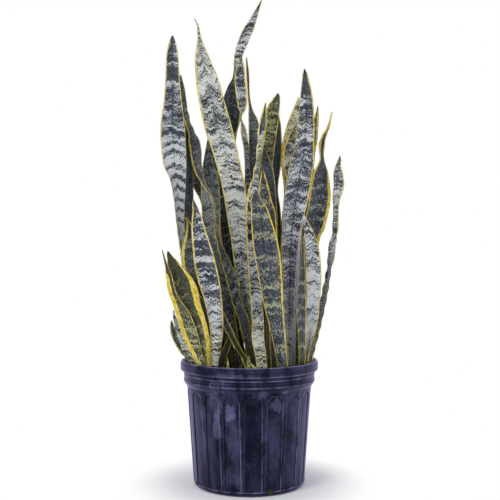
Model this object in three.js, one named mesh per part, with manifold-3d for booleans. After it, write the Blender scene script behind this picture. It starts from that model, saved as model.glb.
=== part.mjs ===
// Potted laurentii snake plant: a clump of upright, sword-shaped leaves in a ribbed nursery pot.
// Millimetres, +Z up. The origin is the middle of the pot's underside, and -Y is the front.
import * as THREE from 'three';
import { mergeVertices } from 'three/addons/utils/BufferGeometryUtils.js';
import Module from 'manifold-3d';

const wasm = await Module();
wasm.setup();

// Pot: a 10 inch grower's pot, 9 inches tall
const POT_HEIGHT = 228;
const LIP_RADIUS = 127;
const LIP_DEPTH = 18;
const COLLAR_RADIUS = 120.7;
const COLLAR_BOTTOM = 185;
const BODY_TOP_RADIUS = 114.6;
const BODY_TOP = 181;
const BODY_FOOT_RADIUS = 102.6;
const BODY_FOOT = 6;
const WALL = 3.2;
const FLOOR = 3;
const POT_SIDES = 36;

// Recessed arched panels round the body, and the drain holes at its foot
const PANEL_COUNT = 18;
const PANEL_WIDTH = 28.5;
const PANEL_FOOT = 9;
const PANEL_TOP = 176;
const PANEL_RELIEF = 1.6;
const FIRST_PANEL_ANGLE = 3.8;
const ARCH_STEPS = 5;
const DRAIN_COUNT = 4;
const DRAIN_WIDTH = 14;
const DRAIN_TOP = 13;
const FIRST_DRAIN_ANGLE = 21.6;

// Soil and what grows in it
const SOIL_LEVEL = 188;
const SOIL_CROWN = 2;
const FIT = 0.4;
const SLOT_FIT = 2;
const LEAF_FOOT = 165;
const SEAT_GAP = 0.3;
const RHIZOME_WIDTH = 25;
const RHIZOME_HEIGHT = 21;
const RHIZOME_REACH = 92;
const RHIZOME_SIDES = 6;

// Leaf blade: thickness in the middle at the foot and at the tip, and at the margins
const MIDDLE_FOOT = 5;
const MIDDLE_TIP = 1.6;
const MARGIN_THICKNESS = 1.1;
const TIP_THICKNESS = 0.8;
const CHANNEL_FOOT = 62;
const CHANNEL_TIP = 26;
const WAVE_HEIGHT = 1.1;
const WAVE_LENGTH = 92;
const CHANNEL_OPENS = 1.6;
const SLIM_HALF = 6;
const LONG_STEP = 54;
const ACROSS = [-1, -0.5, 0, 0.5, 1];

// Each leaf is a list of level slices from its foot to its tip:
// height, x, y, half width, and the turn of its hollow face from the front (0) towards +X (90).
const LEAVES = {
  "leaf_left_tall": [
    [165, -89, 0, 9, 80], [230, -98, 0, 11, 78], [300, -109.5, -3.5, 14, 75], [400, -121.8, -5, 13.5, 72],
    [440, -127, -5, 13, 70], [486, -131.3, -5, 14, 66], [523, -132.7, -5, 17, 57], [560, -135, -5, 20, 46],
    [578, -138, -5, 21, 31], [597, -139, -5, 22, 14], [652, -141.5, -5, 22.5, 5], [708, -141, -6, 16.5, 0],
    [745, -141.5, -6, 13.2, 0], [782, -142, -7, 11.5, 0], [801, -142, -7, 9.3, 0],
    [819, -142, -7, 4.6, 0], [826, -142, -7, 0.8, 0],
  ],
  "leaf_left_twisted": [
    [165, 20, -12, 9, -35], [283, -2, -8, 13, -40], [338, -20, -3, 13.5, -45],
    [375, -28, 0, 15, -38], [412, -42, 2, 13, -50], [463, -59, 5, 10, -74],
    [523, -67, 8, 10, -78], [560, -86, 10, 11, -62], [588, -95, 12, 13.6, -45],
    [616, -98.5, 14, 13.8, -35], [638, -102.5, 14.5, 12.5, -42], [655, -108.5, 15, 9, -50],
    [674, -115, 15, 8, -50], [692, -121, 15, 9, -35], [709, -125, 15, 8.5, -20],
    [735, -128, 15, 6.5, 0], [758, -128.5, 15, 0.8, 0],
  ],
  "leaf_left_dark": [
    [165, -14, 14, 9, 0], [336, -44, 22, 14, 0], [430, -64, 29, 16, 5],
    [468, -71, 32, 17, 5], [524, -73, 35, 18, 5], [562, -74.5, 36, 17, 0],
    [600, -74, 36, 12.5, 0], [624, -77, 36, 5.5, 0], [640, -78.7, 36, 0.8, 0],
  ],
  "leaf_left_behind": [
    [165, -22, 40, 9, 0], [297, -43, 44, 12, 0], [373, -60, 48, 13, 0],
    [430, -69, 50, 13, 5], [478, -75, 52, 12, 10], [505, -79, 52, 11.5, 8],
    [527, -84, 52, 11, 5], [549, -95, 51, 12, 5],
    [582, -108, 50, 12, 0], [630, -118, 46, 9, 0], [680, -128, 42, 5, 0],
    [700, -131, 40, 0.8, 0],
  ],
  "leaf_pale_tall": [
    [165, 17, 6, 9, -10], [282, -1, 8, 11, -10], [337, -5.5, 8, 12, -8],
    [374, -11, 8, 14, -5], [430, -14.5, 7, 17, 0], [486, -21, 5, 19.5, 0],
    [541, -28, 3, 21.6, 0], [597, -41, 1, 22.8, 0], [653, -56.4, 0, 25.7, 0],
    [708, -70, -1, 23.6, 0], [745, -77.5, -2, 20.8, 0], [782, -86.3, -3, 14, 0],
    [819, -92, -3, 4.4, 0], [846, -95.5, -4, 1.5, 0], [858, -102, -4, 0.7, 0],
  ],
  "leaf_tallest": [
    [165, -18, 66, 9, 0], [340, -28, 68, 15, 0], [470, -40, 65, 15, 0],
    [600, -45, 57, 17, 0], [651, -41.2, 52, 17.3, 0], [679, -34.4, 49, 17.6, 0],
    [722, -33, 45, 16, 10], [759, -27, 40, 8, 45], [774, -27.5, 37, 7, 68],
    [795, -22.5, 34, 8.5, 35], [826, -10.5, 30, 10, 0], [845, -2, 28, 10, 0],
    [864, 7, 26, 6.6, 0], [882, 15, 25, 4, 0], [901, 23, 24, 0.7, 0],
  ],
  "leaf_lens": [
    [165, 2, 34, 8, 0], [340, 0, 34, 11, 0], [470, -2, 33, 11, 20],
    [562, -4.2, 31, 9, 52], [618, -7, 29, 8.8, 56], [641, -10, 28, 7.8, 48],
    [660, -12.2, 27, 5.8, 45], [679, -15.8, 26, 5, 80], [697, -14.6, 25, 8, 35],
    [712, -14, 24, 10.2, 5], [750, -17.5, 23, 10.4, 0], [773, -17, 22, 7.8, 0],
    [786, -15.8, 22, 3.5, 0], [797, -14.7, 22, 0.7, 0],
  ],
  "leaf_sharp": [
    [165, 18, 46, 9, 0], [340, 18, 46, 12, 0], [470, 17, 46, 14, 0],
    [554, 15.5, 46, 14, 0], [601, 12.7, 46, 14, 0], [639, 11.8, 45, 13, 0],
    [676, 7.5, 43, 9, 0], [691, 3.8, 42, 5.3, 0], [703, 1.6, 41, 3, 0],
    [725, -1.2, 40, 2.3, 20], [762, -3, 39, 2.8, 0], [782, -4.4, 38, 2, 0],
    [796, -5.3, 38, 0.7, 0],
  ],
  "leaf_centre_curved": [
    [165, 25, -54, 9, 0], [233, 21.5, -50, 10, 0], [268, 16, -48, 11.5, 0],
    [304, 15.3, -46, 11, 0], [340, 12.6, -43, 11, 0], [366, 12, -41, 12.7, 0],
    [439, 10.3, -36, 15.7, 0], [494, 9, -32, 16.3, 0], [525, 10.4, -30, 14.5, -10],
    [543, 11.3, -29, 12.5, -35], [567, 14, -28, 10, -55], [595, 17.7, -27, 9, -65],
    [622, 20.5, -26, 8, -52], [658, 24, -25, 6.6, -10], [682, 27.4, -24, 3.7, 0],
    [699, 29.6, -24, 0.7, 0],
  ],
  "leaf_mottled_green": [
    [165, 34, -8, 9, 0], [340, 32, -6, 12, 0], [470, 30, -5, 13, 0],
    [560, 30, -5, 13, 0], [591, 31.8, -5, 12, 0], [643, 38.9, -5, 11.5, 0],
    [671, 42.4, -5, 12, 0], [685, 43, -5, 12.5, 0], [697, 45.5, -5, 11, 0],
    [707, 49.4, -5, 7.5, 0], [714, 51.8, -5, 4.5, 0], [720, 53, -5, 0.8, 0],
  ],
  "leaf_centre_dark": [
    [165, 42, -24, 9, 0], [340, 40, -22, 12, 0], [470, 38, -20, 14, 0],
    [522, 35, -20, 14.5, 0], [558, 33.3, -19, 13.5, 0], [586, 31.5, -19, 10, 0],
    [604, 28.7, -18, 5.5, 0], [618, 27, -18, 0.8, 0],
  ],
  "leaf_centre_short": [
    [165, 50, -56, 9, 0], [340, 44, -54, 12, 0], [430, 38, -52, 14, 0],
    [484, 33, -50, 15.4, 0], [499, 32, -50, 15, 0], [520, 28.4, -49, 11.8, 0],
    [548, 26.2, -48, 7.7, 0], [568, 24.4, -47, 3.2, 0], [576, 23.9, -47, 0.8, 0],
  ],
  "leaf_front_centre": [
    [165, 62, -78, 9, 180], [222, 59, -80, 9, 180], [247, 56, -81, 10.1, 180],
    [289, 50, -82, 13.1, 180], [338, 42, -83, 17.5, 180], [377, 37.7, -84, 20.7, 180],
    [416, 32.8, -84, 22.7, 180], [448, 27.6, -84, 22, 180], [486, 20.6, -84, 17.6, 180],
    [504, 17, -84, 14, 180], [518, 12.3, -84, 9.9, 180], [528, 11.8, -84, 5, 180],
    [535, 11.8, -84, 0.8, 180],
  ],
  "leaf_dark_upright": [
    [165, 50, 28, 9, 0], [340, 50, 28, 12, 0], [488, 46, 27, 14, 0],
    [543, 40, 26, 14, 0], [590, 44.7, 26, 15, 0], [628, 46.6, 25, 14.5, 0],
    [662, 47.5, 24, 12.3, 0], [684, 48, 24, 8, 0], [705, 51, 23, 0.8, 0],
  ],
  "leaf_right_big": [
    [165, 74, -30, 9, 10], [303, 72, -30, 13, 10], [384, 74, -30, 15.2, 10],
    [434, 75, -30, 17.6, 5], [463, 77.4, -29, 18.4, 0], [494, 80.5, -28, 20.2, 0],
    [521, 85, -28, 22.2, 0], [562, 91.5, -27, 22.8, 0], [589, 96.2, -26, 21.9, 0],
    [607, 99, -26, 19.2, 0], [631, 102, -25, 16.7, 0], [658, 103.9, -25, 15, 0],
    [704, 104.4, -24, 11.9, 0], [740, 102.6, -24, 6.4, 0], [752, 101.8, -24, 4, 0],
    [761, 101, -24, 0.8, 0],
  ],
  "leaf_right_behind": [
    [165, 66, 10, 9, 0], [340, 66, 10, 12, 0], [470, 72, 10, 13, 0],
    [510, 76.5, 10, 13.8, 0], [535, 78.4, 10, 13.9, 0], [555, 77.7, 10, 14.2, 0],
    [572, 75.6, 10, 14.3, 0], [592, 73.8, 10, 14.6, 0],
    [608, 73.6, 10, 14.2, 0], [626, 74, 10, 13.5, 0],
    [660, 80.7, 10, 11.5, 0], [675, 84.4, 10, 9.8, 0], [691, 88, 10, 7, 0],
    [708, 91.3, 10, 2.8, 0], [716, 92, 10, 0.8, 0],
  ],
  "leaf_right_inner": [
    [165, 70, -10, 9, 0], [340, 72, -9, 11, 0], [470, 80, -8, 12, 0],
    [540, 82, -8, 12, 0], [563, 80.2, -8, 13.2, 0], [590, 74.8, -8, 14.2, 0], [609, 75, -8, 13, 0],
    [624, 76, -8, 10.2, 0], [638, 78.8, -8, 7.4, 0], [652, 83.4, -8, 4.6, 0],
    [665, 87, -8, 0.8, 0],
  ],
  "leaf_right_slim": [
    [165, 92, 36, 8, -60], [300, 98, 34, 9, -50], [470, 108, 28, 9, -20],
    [597, 115, 22, 7.5, 0], [633, 120.6, 21, 6.8, 0], [661, 123.4, 20, 6.2, 0],
    [682, 126.8, 20, 3.6, 0], [690, 127.8, 20, 2.4, 0], [700, 129, 20, 0.8, 0],
  ],
  "leaf_right_twisted": [
    [165, 94, 14, 9, 40], [300, 99, 12, 12, 30], [374, 105.5, 8, 13.5, 15],
    [447, 114.8, 5, 15.5, 0], [467, 121, 4, 17.7, 0], [490, 124.5, 3, 20.2, 0],
    [512, 129, 3, 20.3, 0], [532, 131.2, 3, 19.8, 0], [553, 132, 3, 17.3, 0],
    [570, 131.8, 3, 14.6, 8], [586, 133.2, 3, 10.8, 30], [600, 134, 3, 7.8, 50],
    [614, 133.6, 3, 6.4, 35], [629, 134.8, 3, 5.9, 20], [644, 139.6, 3, 4.6, 10],
    [659, 147, 3, 2.6, 0], [687, 153.8, 3, 0.7, 0],
  ],
  "leaf_right_front": [
    [165, 98, -20, 9, -50], [226, 103, -25, 9, -55], [249, 106, -28, 9.5, -45],
    [276, 110, -31, 11, -25], [303, 113.5, -34, 12.3, -10], [340, 115.5, -36, 12.5, 0],
    [372, 116.2, -37.5, 13.8, 0], [397, 115.9, -39, 13.8, 0], [421, 114.4, -40, 13.4, 0],
    [437, 112.6, -40, 12.5, 0],
    [459, 108.5, -41, 9.6, 0], [475, 103.8, -41, 6.2, 0], [490, 99, -41, 3, 0],
    [502, 97, -41, 0.8, 0],
  ],
  "leaf_right_banded": [
    [165, 88, -46, 8, 30], [229, 92, -50, 8, 45], [260, 92.6, -51, 9, 38],
    [295, 92, -52, 9.5, 30], [331, 92.4, -52, 9.3, 22], [358, 93, -52, 8.2, 20],
    [385, 94.2, -52, 6.5, 20], [416, 95.3, -52, 4.4, 20], [443, 95.8, -52, 2.6, 0],
    [460, 95, -52, 0.8, 0],
  ],
  "leaf_far_right": [
    [165, 101, -2, 8, -80], [200, 108, 0, 8, -74], [229, 115.5, 1, 8, -66],
    [281, 128, 3, 8, -58], [318, 135.5, 4, 8, -50], [356, 143, 5, 7.5, -50],
    [393, 149.5, 5, 7, -58], [421, 153.5, 5, 7, -30], [437, 154.2, 5, 7, -18],
    [455, 158.6, 5, 6.5, -45], [467, 160.7, 5, 6.5, -50], [504, 161.8, 5, 7, -42],
    [523, 162.8, 5, 7.5, -40],
    [535, 164.5, 5, 9, -20],
    [551, 166.5, 5, 9.8, 0], [570, 165.3, 5, 9, 0], [586, 165.3, 5, 5.4, 0],
    [597, 167.8, 5, 3.1, 0], [606, 168.7, 5, 0.8, 0],
  ],
  "leaf_left_front": [
    [165, -62, -42, 9, 200], [222, -61, -46, 9, 215], [265, -59, -49, 10.8, 190],
    [295, -59.2, -50, 12.6, 180], [337, -64.6, -52, 16, 180], [373, -72.5, -53, 19.5, 180],
    [401, -78.6, -54, 19.7, 180], [423, -82.7, -54, 18.2, 180], [448, -87.5, -55, 15.2, 180],
    [475, -92.2, -55, 11.5, 180], [498, -95, -55, 7, 180], [510, -98, -55, 4, 180],
    [520, -100.3, -55, 0.8, 180],
  ],
  "leaf_left_folded": [
    [165, -76, -55, 9, 180], [223, -79, -57, 9.4, 180], [270, -83.3, -60, 12.5, 180],
    [305, -93, -61, 15, 180], [334, -105, -62, 18, 180], [357, -112.5, -62, 21, 180],
    [378, -121, -62, 20, 180], [398, -131.4, -62, 13.8, 180], [412, -138, -62, 8.5, 180],
    [422, -143, -62, 4, 180], [428, -145, -62, 0.8, 180],
  ],
  "leaf_left_outer": [
    [165, -70, -72, 8.5, 180], [223, -82, -72, 8.5, 190], [236, -88.5, -72, 9, 185],
    [250, -94.5, -73, 10, 180], [266, -100, -74, 12.5, 180], [283, -105.6, -75, 14.1, 180],
    [303, -112.3, -76, 13.7, 180], [322, -119.4, -76, 12, 180], [340, -128.6, -76, 8.5, 180],
    [358, -136.7, -76, 6.8, 180], [388, -142.5, -76, 5.2, 180], [402, -146.4, -76, 2.6, 180],
    [416, -150, -76, 1.5, 180], [430, -153.6, -76, 0.7, 180],
  ],
  "leaf_low_left_dark": [
    [165, -101, -12, 8, 70], [225, -109.5, -10, 8.5, 45], [240, -118, -9, 8.5, 10],
    [256, -128.8, -8, 7.6, 0], [271, -137, -8, 6.5, 0], [288, -142, -8, 4.2, 0],
    [300, -143.6, -8, 0.8, 0],
  ],
  "leaf_low_left_silver": [
    [165, -90, -26, 8, 30], [223, -104, -24, 8, 10], [238, -111, -23, 8.5, 0],
    [256, -117, -22, 9, 0], [274, -123.5, -21, 8.5, 0], [293, -131.5, -20, 5.5, 0],
    [308, -137, -20, 2.6, 0], [320, -139, -20, 0.8, 0],
  ],
  "leaf_left_curled": [
    [165, 8, -33, 8, -20], [225, -3, -33, 8, -45], [250, -17.5, -33, 9, -50],
    [272, -28.5, -33, 10, -50], [294, -39.5, -33, 11, -45], [339, -70, -33, 14, -10],
    [375, -95, -32, 17, 5],
    [401, -103, -32, 18.5, 0], [433, -105, -32, 17, 0], [450, -105, -32, 13, 0],
    [464, -107, -32, 8, 0], [478, -110, -32, 4, 0], [487, -114, -32, 2, 0],
    [492, -120, -32, 0.8, 0],
  ],
  "leaf_shaded": [
    [165, -8, 51, 8, 0], [240, -18, 53, 9, 0], [290, -28, 54, 9, 0],
    [337, -33, 54, 9, 0], [385, -36, 55, 6, 0], [412, -37, 55, 0.8, 0],
  ],
  "leaf_crossing": [
    [165, -64, -18, 7, 0], [229, -50, -18, 7.5, 0], [250, -42, -18, 7, 0],
    [268, -35, -18, 4.5, 0], [281, -30.5, -18, 0.8, 0],
  ],
  "leaf_back_tall": [
    [165, 2, 88, 9, 0], [340, 6, 94, 16, 0], [480, 10, 100, 18, 0],
    [590, 13, 104, 13, 0], [635, 14, 106, 6, 0], [655, 14, 106, 0.8, 0],
  ],
  "leaf_back_left": [
    [165, -48, 62, 9, 25], [340, -54, 80, 15, 20], [470, -55, 84, 17, 15],
    [560, -55, 86, 13, 10], [600, -56, 87, 6, 10], [622, -56, 87, 0.8, 10],
  ],
  "leaf_back_outer_left": [
    [165, -74, 34, 9, 60], [300, -90, 34, 13, 40], [400, -105, 32, 12, 20],
    [470, -113.5, 31, 9.5, 5], [540, -114.5, 30, 9, 0], [600, -114.5, 30, 8.5, 0],
    [640, -116, 30, 6, 0], [672, -118, 30, 0.8, 0],
  ],
  "leaf_back_right": [
    [165, 34, 76, 9, -20], [340, 41, 84, 15, -20], [460, 46, 90, 14, -20],
    [540, 49, 94, 8, -20], [570, 50, 95, 0.8, -20],
  ],
  "leaf_back_outer_right": [
    [165, 66, 54, 9, -50], [330, 84, 60, 15, -40], [450, 92, 66, 15, -40],
    [530, 96, 70, 9, -40], [565, 98, 72, 0.8, -40],
  ],
  "leaf_back_low_left": [
    [165, -36, 86, 8, 20], [270, -44, 98, 11, 20], [340, -50, 106, 9, 20],
    [385, -54, 111, 0.8, 20],
  ],
  "leaf_back_low_right": [
    [165, 58, 78, 8, -30], [270, 68, 92, 11, -30], [350, 76, 101, 8, -30],
    [395, 80, 106, 0.8, -30],
  ],
  "shoot_left": [[165, -38, -62, 4, 0], [215, -38, -63, 3.2, 0], [238, -38.5, -64, 0.8, 0]],
  "shoot_middle": [[165, 0, -62, 4, 0], [225, -1, -62, 3.5, 0], [243, -1, -62, 0.8, 0]],
  "shoot_curl": [
    [165, 17, -72, 4, 0], [212, 14, -78, 3.8, 0], [224, 8, -79, 3, 0], [231, 2, -79, 0.8, 0],
  ],
};

// The rhizome creeps through the soil in runs that pass under the feet of these leaves
const RHIZOME_RUNS = [
  ["leaf_left_tall", "leaf_low_left_silver", "leaf_left_folded", "leaf_left_outer"],
  ["leaf_crossing", "leaf_left_front", "shoot_left", "shoot_middle", "leaf_centre_curved",
    "leaf_centre_short", "leaf_front_centre"],
  ["leaf_front_centre", "leaf_right_banded", "leaf_right_front", "leaf_right_twisted",
    "leaf_right_slim", "leaf_back_outer_right", "leaf_back_low_right", "leaf_back_right",
    "leaf_back_tall", "leaf_back_low_left", "leaf_back_left", "leaf_back_outer_left",
    "leaf_left_tall"],
  ["shoot_middle", "leaf_left_curled", "leaf_left_twisted", "leaf_pale_tall", "leaf_lens",
    "leaf_shaded", "leaf_tallest"],
  ["leaf_pale_tall", "leaf_left_dark", "leaf_left_behind", "leaf_tallest", "leaf_back_left"],
  ["leaf_left_twisted", "leaf_mottled_green", "leaf_centre_dark", "leaf_right_big"],
  ["leaf_right_big", "leaf_right_inner", "leaf_right_behind", "leaf_dark_upright",
    "leaf_sharp", "leaf_shaded"],
];

const group = new THREE.Group();

function plastic() {
  return new THREE.MeshStandardMaterial({ color: 0x2b2b40, roughness: 0.5, metalness: 0 });
}

function addMesh(name, geometry, material) {
  geometry.computeVertexNormals();
  const mesh = new THREE.Mesh(geometry, material);
  mesh.name = name;
  group.add(mesh);
}

// A closed geometry as a solid, with its faces pointing out
function toSolid(geometry) {
  const bare = new THREE.BufferGeometry();
  bare.setAttribute('position', geometry.getAttribute('position').clone());
  if (geometry.index) bare.setIndex(geometry.index.clone());
  const merged = mergeVertices(bare, 1e-4);
  const index = merged.index.array;
  const places = merged.getAttribute('position').array;
  const triangles = [];
  let volume = 0;
  for (let i = 0; i < index.length; i += 3) {
    const [a, b, c] = [index[i], index[i + 1], index[i + 2]];
    if (a === b || b === c || c === a) continue;
    triangles.push(a, b, c);
    const [p, q, r] = [a, b, c].map((k) => new THREE.Vector3().fromArray(places, 3 * k));
    volume += p.dot(q.cross(r));
  }
  if (volume < 0) triangles.reverse();
  const mesh = new wasm.Mesh({
    numProp: 3,
    vertProperties: new Float32Array(places),
    triVerts: new Uint32Array(triangles),
  });
  return new wasm.Manifold(mesh);
}

function fromSolid(solid) {
  const mesh = solid.getMesh();
  const geometry = new THREE.BufferGeometry();
  geometry.setAttribute('position', new THREE.BufferAttribute(mesh.vertProperties, mesh.numProp));
  geometry.setIndex(new THREE.BufferAttribute(mesh.triVerts, 1));
  return geometry;
}

// A profile of [radius, height] points turned round the pot's axis, its first side at the front
function turned(profile) {
  const points = profile.map(([radius, height]) => new THREE.Vector2(radius, height));
  return new THREE.LatheGeometry(points, POT_SIDES).rotateX(Math.PI / 2);
}

// Radius of the pot's body at a height
function bodyRadius(height) {
  const slope = (BODY_TOP_RADIUS - BODY_FOOT_RADIUS) / (BODY_TOP - BODY_FOOT);
  return BODY_FOOT_RADIUS + slope * (height - BODY_FOOT);
}

// A round-topped bar that reaches out from the pot's axis, as wide as the arch it cuts
function archBar(width, foot, top, angle, inner, outer) {
  const half = width / 2;
  const outline = new THREE.Shape();
  outline.moveTo(-half, foot);
  outline.lineTo(half, foot);
  outline.lineTo(half, top - half);
  outline.absarc(0, top - half, half, 0, Math.PI, false);
  outline.closePath();
  const options = { depth: outer - inner, bevelEnabled: false, curveSegments: ARCH_STEPS };
  const bar = new THREE.ExtrudeGeometry(outline, options).translate(0, 0, inner);
  const turn = THREE.MathUtils.degToRad(angle);
  const along = new THREE.Vector3(Math.cos(turn), Math.sin(turn), 0);
  const out = new THREE.Vector3(Math.sin(turn), -Math.cos(turn), 0);
  const up = new THREE.Vector3(0, 0, 1);
  return toSolid(bar.applyMatrix4(new THREE.Matrix4().makeBasis(along, up, out)));
}

function potProfile() {
  const lipFoot = POT_HEIGHT - LIP_DEPTH;
  return [
    [0, 0], [BODY_FOOT_RADIUS - 6.6, 0], [BODY_FOOT_RADIUS - 2.2, 1.6],
    [BODY_FOOT_RADIUS, BODY_FOOT],
    [BODY_TOP_RADIUS, BODY_TOP],
    [COLLAR_RADIUS - 1, COLLAR_BOTTOM + 3], [COLLAR_RADIUS + 0.7, COLLAR_BOTTOM + 7],
    [COLLAR_RADIUS - 0.5, COLLAR_BOTTOM + 10], [COLLAR_RADIUS, lipFoot - 1],
    [LIP_RADIUS - 1, lipFoot], [LIP_RADIUS, lipFoot + 3], [LIP_RADIUS, POT_HEIGHT - 5],
    [LIP_RADIUS - 3, POT_HEIGHT], [COLLAR_RADIUS - 0.4, POT_HEIGHT - 1.5],
    [COLLAR_RADIUS - 1.2, POT_HEIGHT - 6], [COLLAR_RADIUS - WALL, lipFoot - 4],
    [COLLAR_RADIUS - WALL - 0.3, COLLAR_BOTTOM + 1],
    [BODY_TOP_RADIUS - WALL, BODY_TOP - 3],
    [BODY_FOOT_RADIUS - WALL, BODY_FOOT + 0.5], [BODY_FOOT_RADIUS - WALL - 4, FLOOR],
    [0, FLOOR],
  ];
}

function makePot() {
  let pot = toSolid(turned(potProfile()));
  const reach = COLLAR_RADIUS + 5;
  const relief = toSolid(turned([
    [bodyRadius(0) - PANEL_RELIEF, 0], [reach, 0], [reach, BODY_TOP],
    [bodyRadius(BODY_TOP) - PANEL_RELIEF, BODY_TOP], [bodyRadius(0) - PANEL_RELIEF, 0],
  ]));
  const pitch = 360 / PANEL_COUNT;
  for (let i = 0; i < PANEL_COUNT; i += 1) {
    const angle = FIRST_PANEL_ANGLE + i * pitch;
    const bar = archBar(PANEL_WIDTH, PANEL_FOOT, PANEL_TOP, angle, BODY_FOOT_RADIUS - 10, reach);
    pot = pot.subtract(relief.intersect(bar));
  }
  for (let i = 0; i < DRAIN_COUNT; i += 1) {
    const angle = FIRST_DRAIN_ANGLE + (i * 360) / DRAIN_COUNT;
    const inner = BODY_FOOT_RADIUS - 9;
    pot = pot.subtract(archBar(DRAIN_WIDTH, FLOOR + 0.2, DRAIN_TOP, angle, inner, reach));
  }
  addMesh('pot', fromSolid(pot), plastic());
}

// A smooth curve through four numbers, from b at 0 to c at 1
function between(a, b, c, d, t) {
  const bend = 2 * a - 5 * b + 4 * c - d;
  const cube = 3 * (b - c) + d - a;
  return b + 0.5 * t * (c - a + t * (bend + t * cube));
}

// The slice of a leaf at a place along its list, counted in list steps from the foot
function sliceAt(list, place) {
  const last = list.length - 1;
  const step = Math.min(Math.floor(place), last - 1);
  const around = [step - 1, step, step + 1, step + 2].map((i) => list[Math.max(0, Math.min(last, i))]);
  return list[0].map((_, k) => between(...around.map((slice) => slice[k]), place - step));
}

// Places for the level slices: one for each step of the list, and more in a long one
function slicePlaces(list) {
  const places = [0];
  for (let i = 1; i < list.length; i += 1) {
    const parts = Math.max(1, Math.round((list[i][0] - list[i - 1][0]) / LONG_STEP));
    for (let k = 1; k <= parts; k += 1) places.push(i - 1 + k / parts);
  }
  return places;
}

// Sizes of a leaf's section: the half angle of its channel, the radius of its bend, its thickness
function sectionOf([height, , , half], [low, high]) {
  const rise = (height - low) / (high - low);
  const channel = THREE.MathUtils.degToRad(
    THREE.MathUtils.lerp(CHANNEL_FOOT, CHANNEL_TIP, Math.min(1, rise * CHANNEL_OPENS)));
  const middle = THREE.MathUtils.lerp(MIDDLE_FOOT, MIDDLE_TIP, rise);
  return { channel, bend: half / Math.sin(channel), middle, slim: Math.min(1, half / SLIM_HALF) };
}

// A point of a level slice, from its place across the leaf and its depth towards the hollow face
function levelPoint([height, x, y, , turn], across, depth) {
  const angle = THREE.MathUtils.degToRad(turn);
  return [
    x + Math.cos(angle) * across + Math.sin(angle) * depth,
    y + Math.sin(angle) * across - Math.cos(angle) * depth,
    height,
  ];
}

// The level outline of a leaf: its hollow face from margin to margin, then its back
function sliceOutline(slice, span) {
  const { channel, bend, middle, slim } = sectionOf(slice, span);
  const wave = WAVE_HEIGHT * slim * Math.sin((2 * Math.PI * slice[0]) / WAVE_LENGTH + slice[1]);
  const fronts = [];
  const backs = [];
  for (const u of ACROSS) {
    const swing = u * channel;
    const across = bend * Math.sin(swing);
    const lift = bend * (1 - Math.cos(swing)) + wave * u ** 3;
    const body = THREE.MathUtils.lerp(middle, MARGIN_THICKNESS, u * u);
    const deep = THREE.MathUtils.lerp(TIP_THICKNESS, body, slim) / 2;
    const [aside, ahead] = [deep * Math.sin(swing), deep * Math.cos(swing)];
    fronts.push(levelPoint(slice, across - aside, lift + ahead));
    backs.push(levelPoint(slice, across + aside, lift - ahead));
  }
  return fronts.concat(backs.reverse());
}

// The level outline of the plain slot that a leaf's foot stands in
function slotOutline(slice, span) {
  const { channel, bend, middle } = sectionOf(slice, span);
  const reach = slice[3] + MARGIN_THICKNESS / 2 + SLOT_FIT;
  const back = -middle / 2 - SLOT_FIT;
  const front = bend * (1 - Math.cos(channel)) + WAVE_HEIGHT + SLOT_FIT;
  return [
    levelPoint(slice, -reach, front), levelPoint(slice, reach, front),
    levelPoint(slice, reach, back), levelPoint(slice, -reach, back),
  ];
}

// Level outlines joined into one closed blade. Both faces are split along like diagonals.
function blade(outlines) {
  const count = outlines[0].length;
  const half = count / 2;
  const index = [];
  for (let i = 0; i + 1 < outlines.length; i += 1) {
    for (let j = 0; j < count; j += 1) {
      const next = (j + 1) % count;
      const [a, b] = [i * count + j, i * count + next];
      const [c, d] = [a + count, b + count];
      if (j < half) index.push(a, b, d, a, d, c);
      else index.push(a, b, c, b, d, c);
    }
  }
  const top = (outlines.length - 1) * count;
  for (let j = 0; j + 1 < half; j += 1) {
    const [a, b, c, d] = [j, j + 1, count - 2 - j, count - 1 - j];
    index.push(a, d, c, a, c, b);
    index.push(top + a, top + b, top + c, top + a, top + c, top + d);
  }
  const geometry = new THREE.BufferGeometry();
  geometry.setAttribute('position', new THREE.Float32BufferAttribute(outlines.flat(2), 3));
  geometry.setIndex(index);
  return geometry;
}

function spanOf(list) {
  return [list[0][0], list[list.length - 1][0]];
}

function slicesOf(list) {
  return slicePlaces(list).map((place) => sliceAt(list, place));
}

function leafMaterial(name) {
  const color = name.startsWith('shoot') ? 0x9c9a4a : 0x5d6a55;
  return new THREE.MeshStandardMaterial({ color, roughness: 0.45, metalness: 0 });
}

function makeLeaf(name, list) {
  const outlines = slicesOf(list).map((slice) => sliceOutline(slice, spanOf(list)));
  addMesh(name, fromSolid(toSolid(blade(outlines))), leafMaterial(name));
}

// The slot for a leaf, from just under its foot to the open air
function leafSlot(list) {
  const slices = slicesOf(list);
  const above = slices.findIndex((slice) => slice[0] > SOIL_LEVEL + SOIL_CROWN);
  const outlines = slices.slice(0, above + 1).map((slice) => slotOutline(slice, spanOf(list)));
  outlines[0] = outlines[0].map(([x, y, z]) => [x, y, z - 2 * SEAT_GAP]);
  return toSolid(blade(outlines));
}

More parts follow.
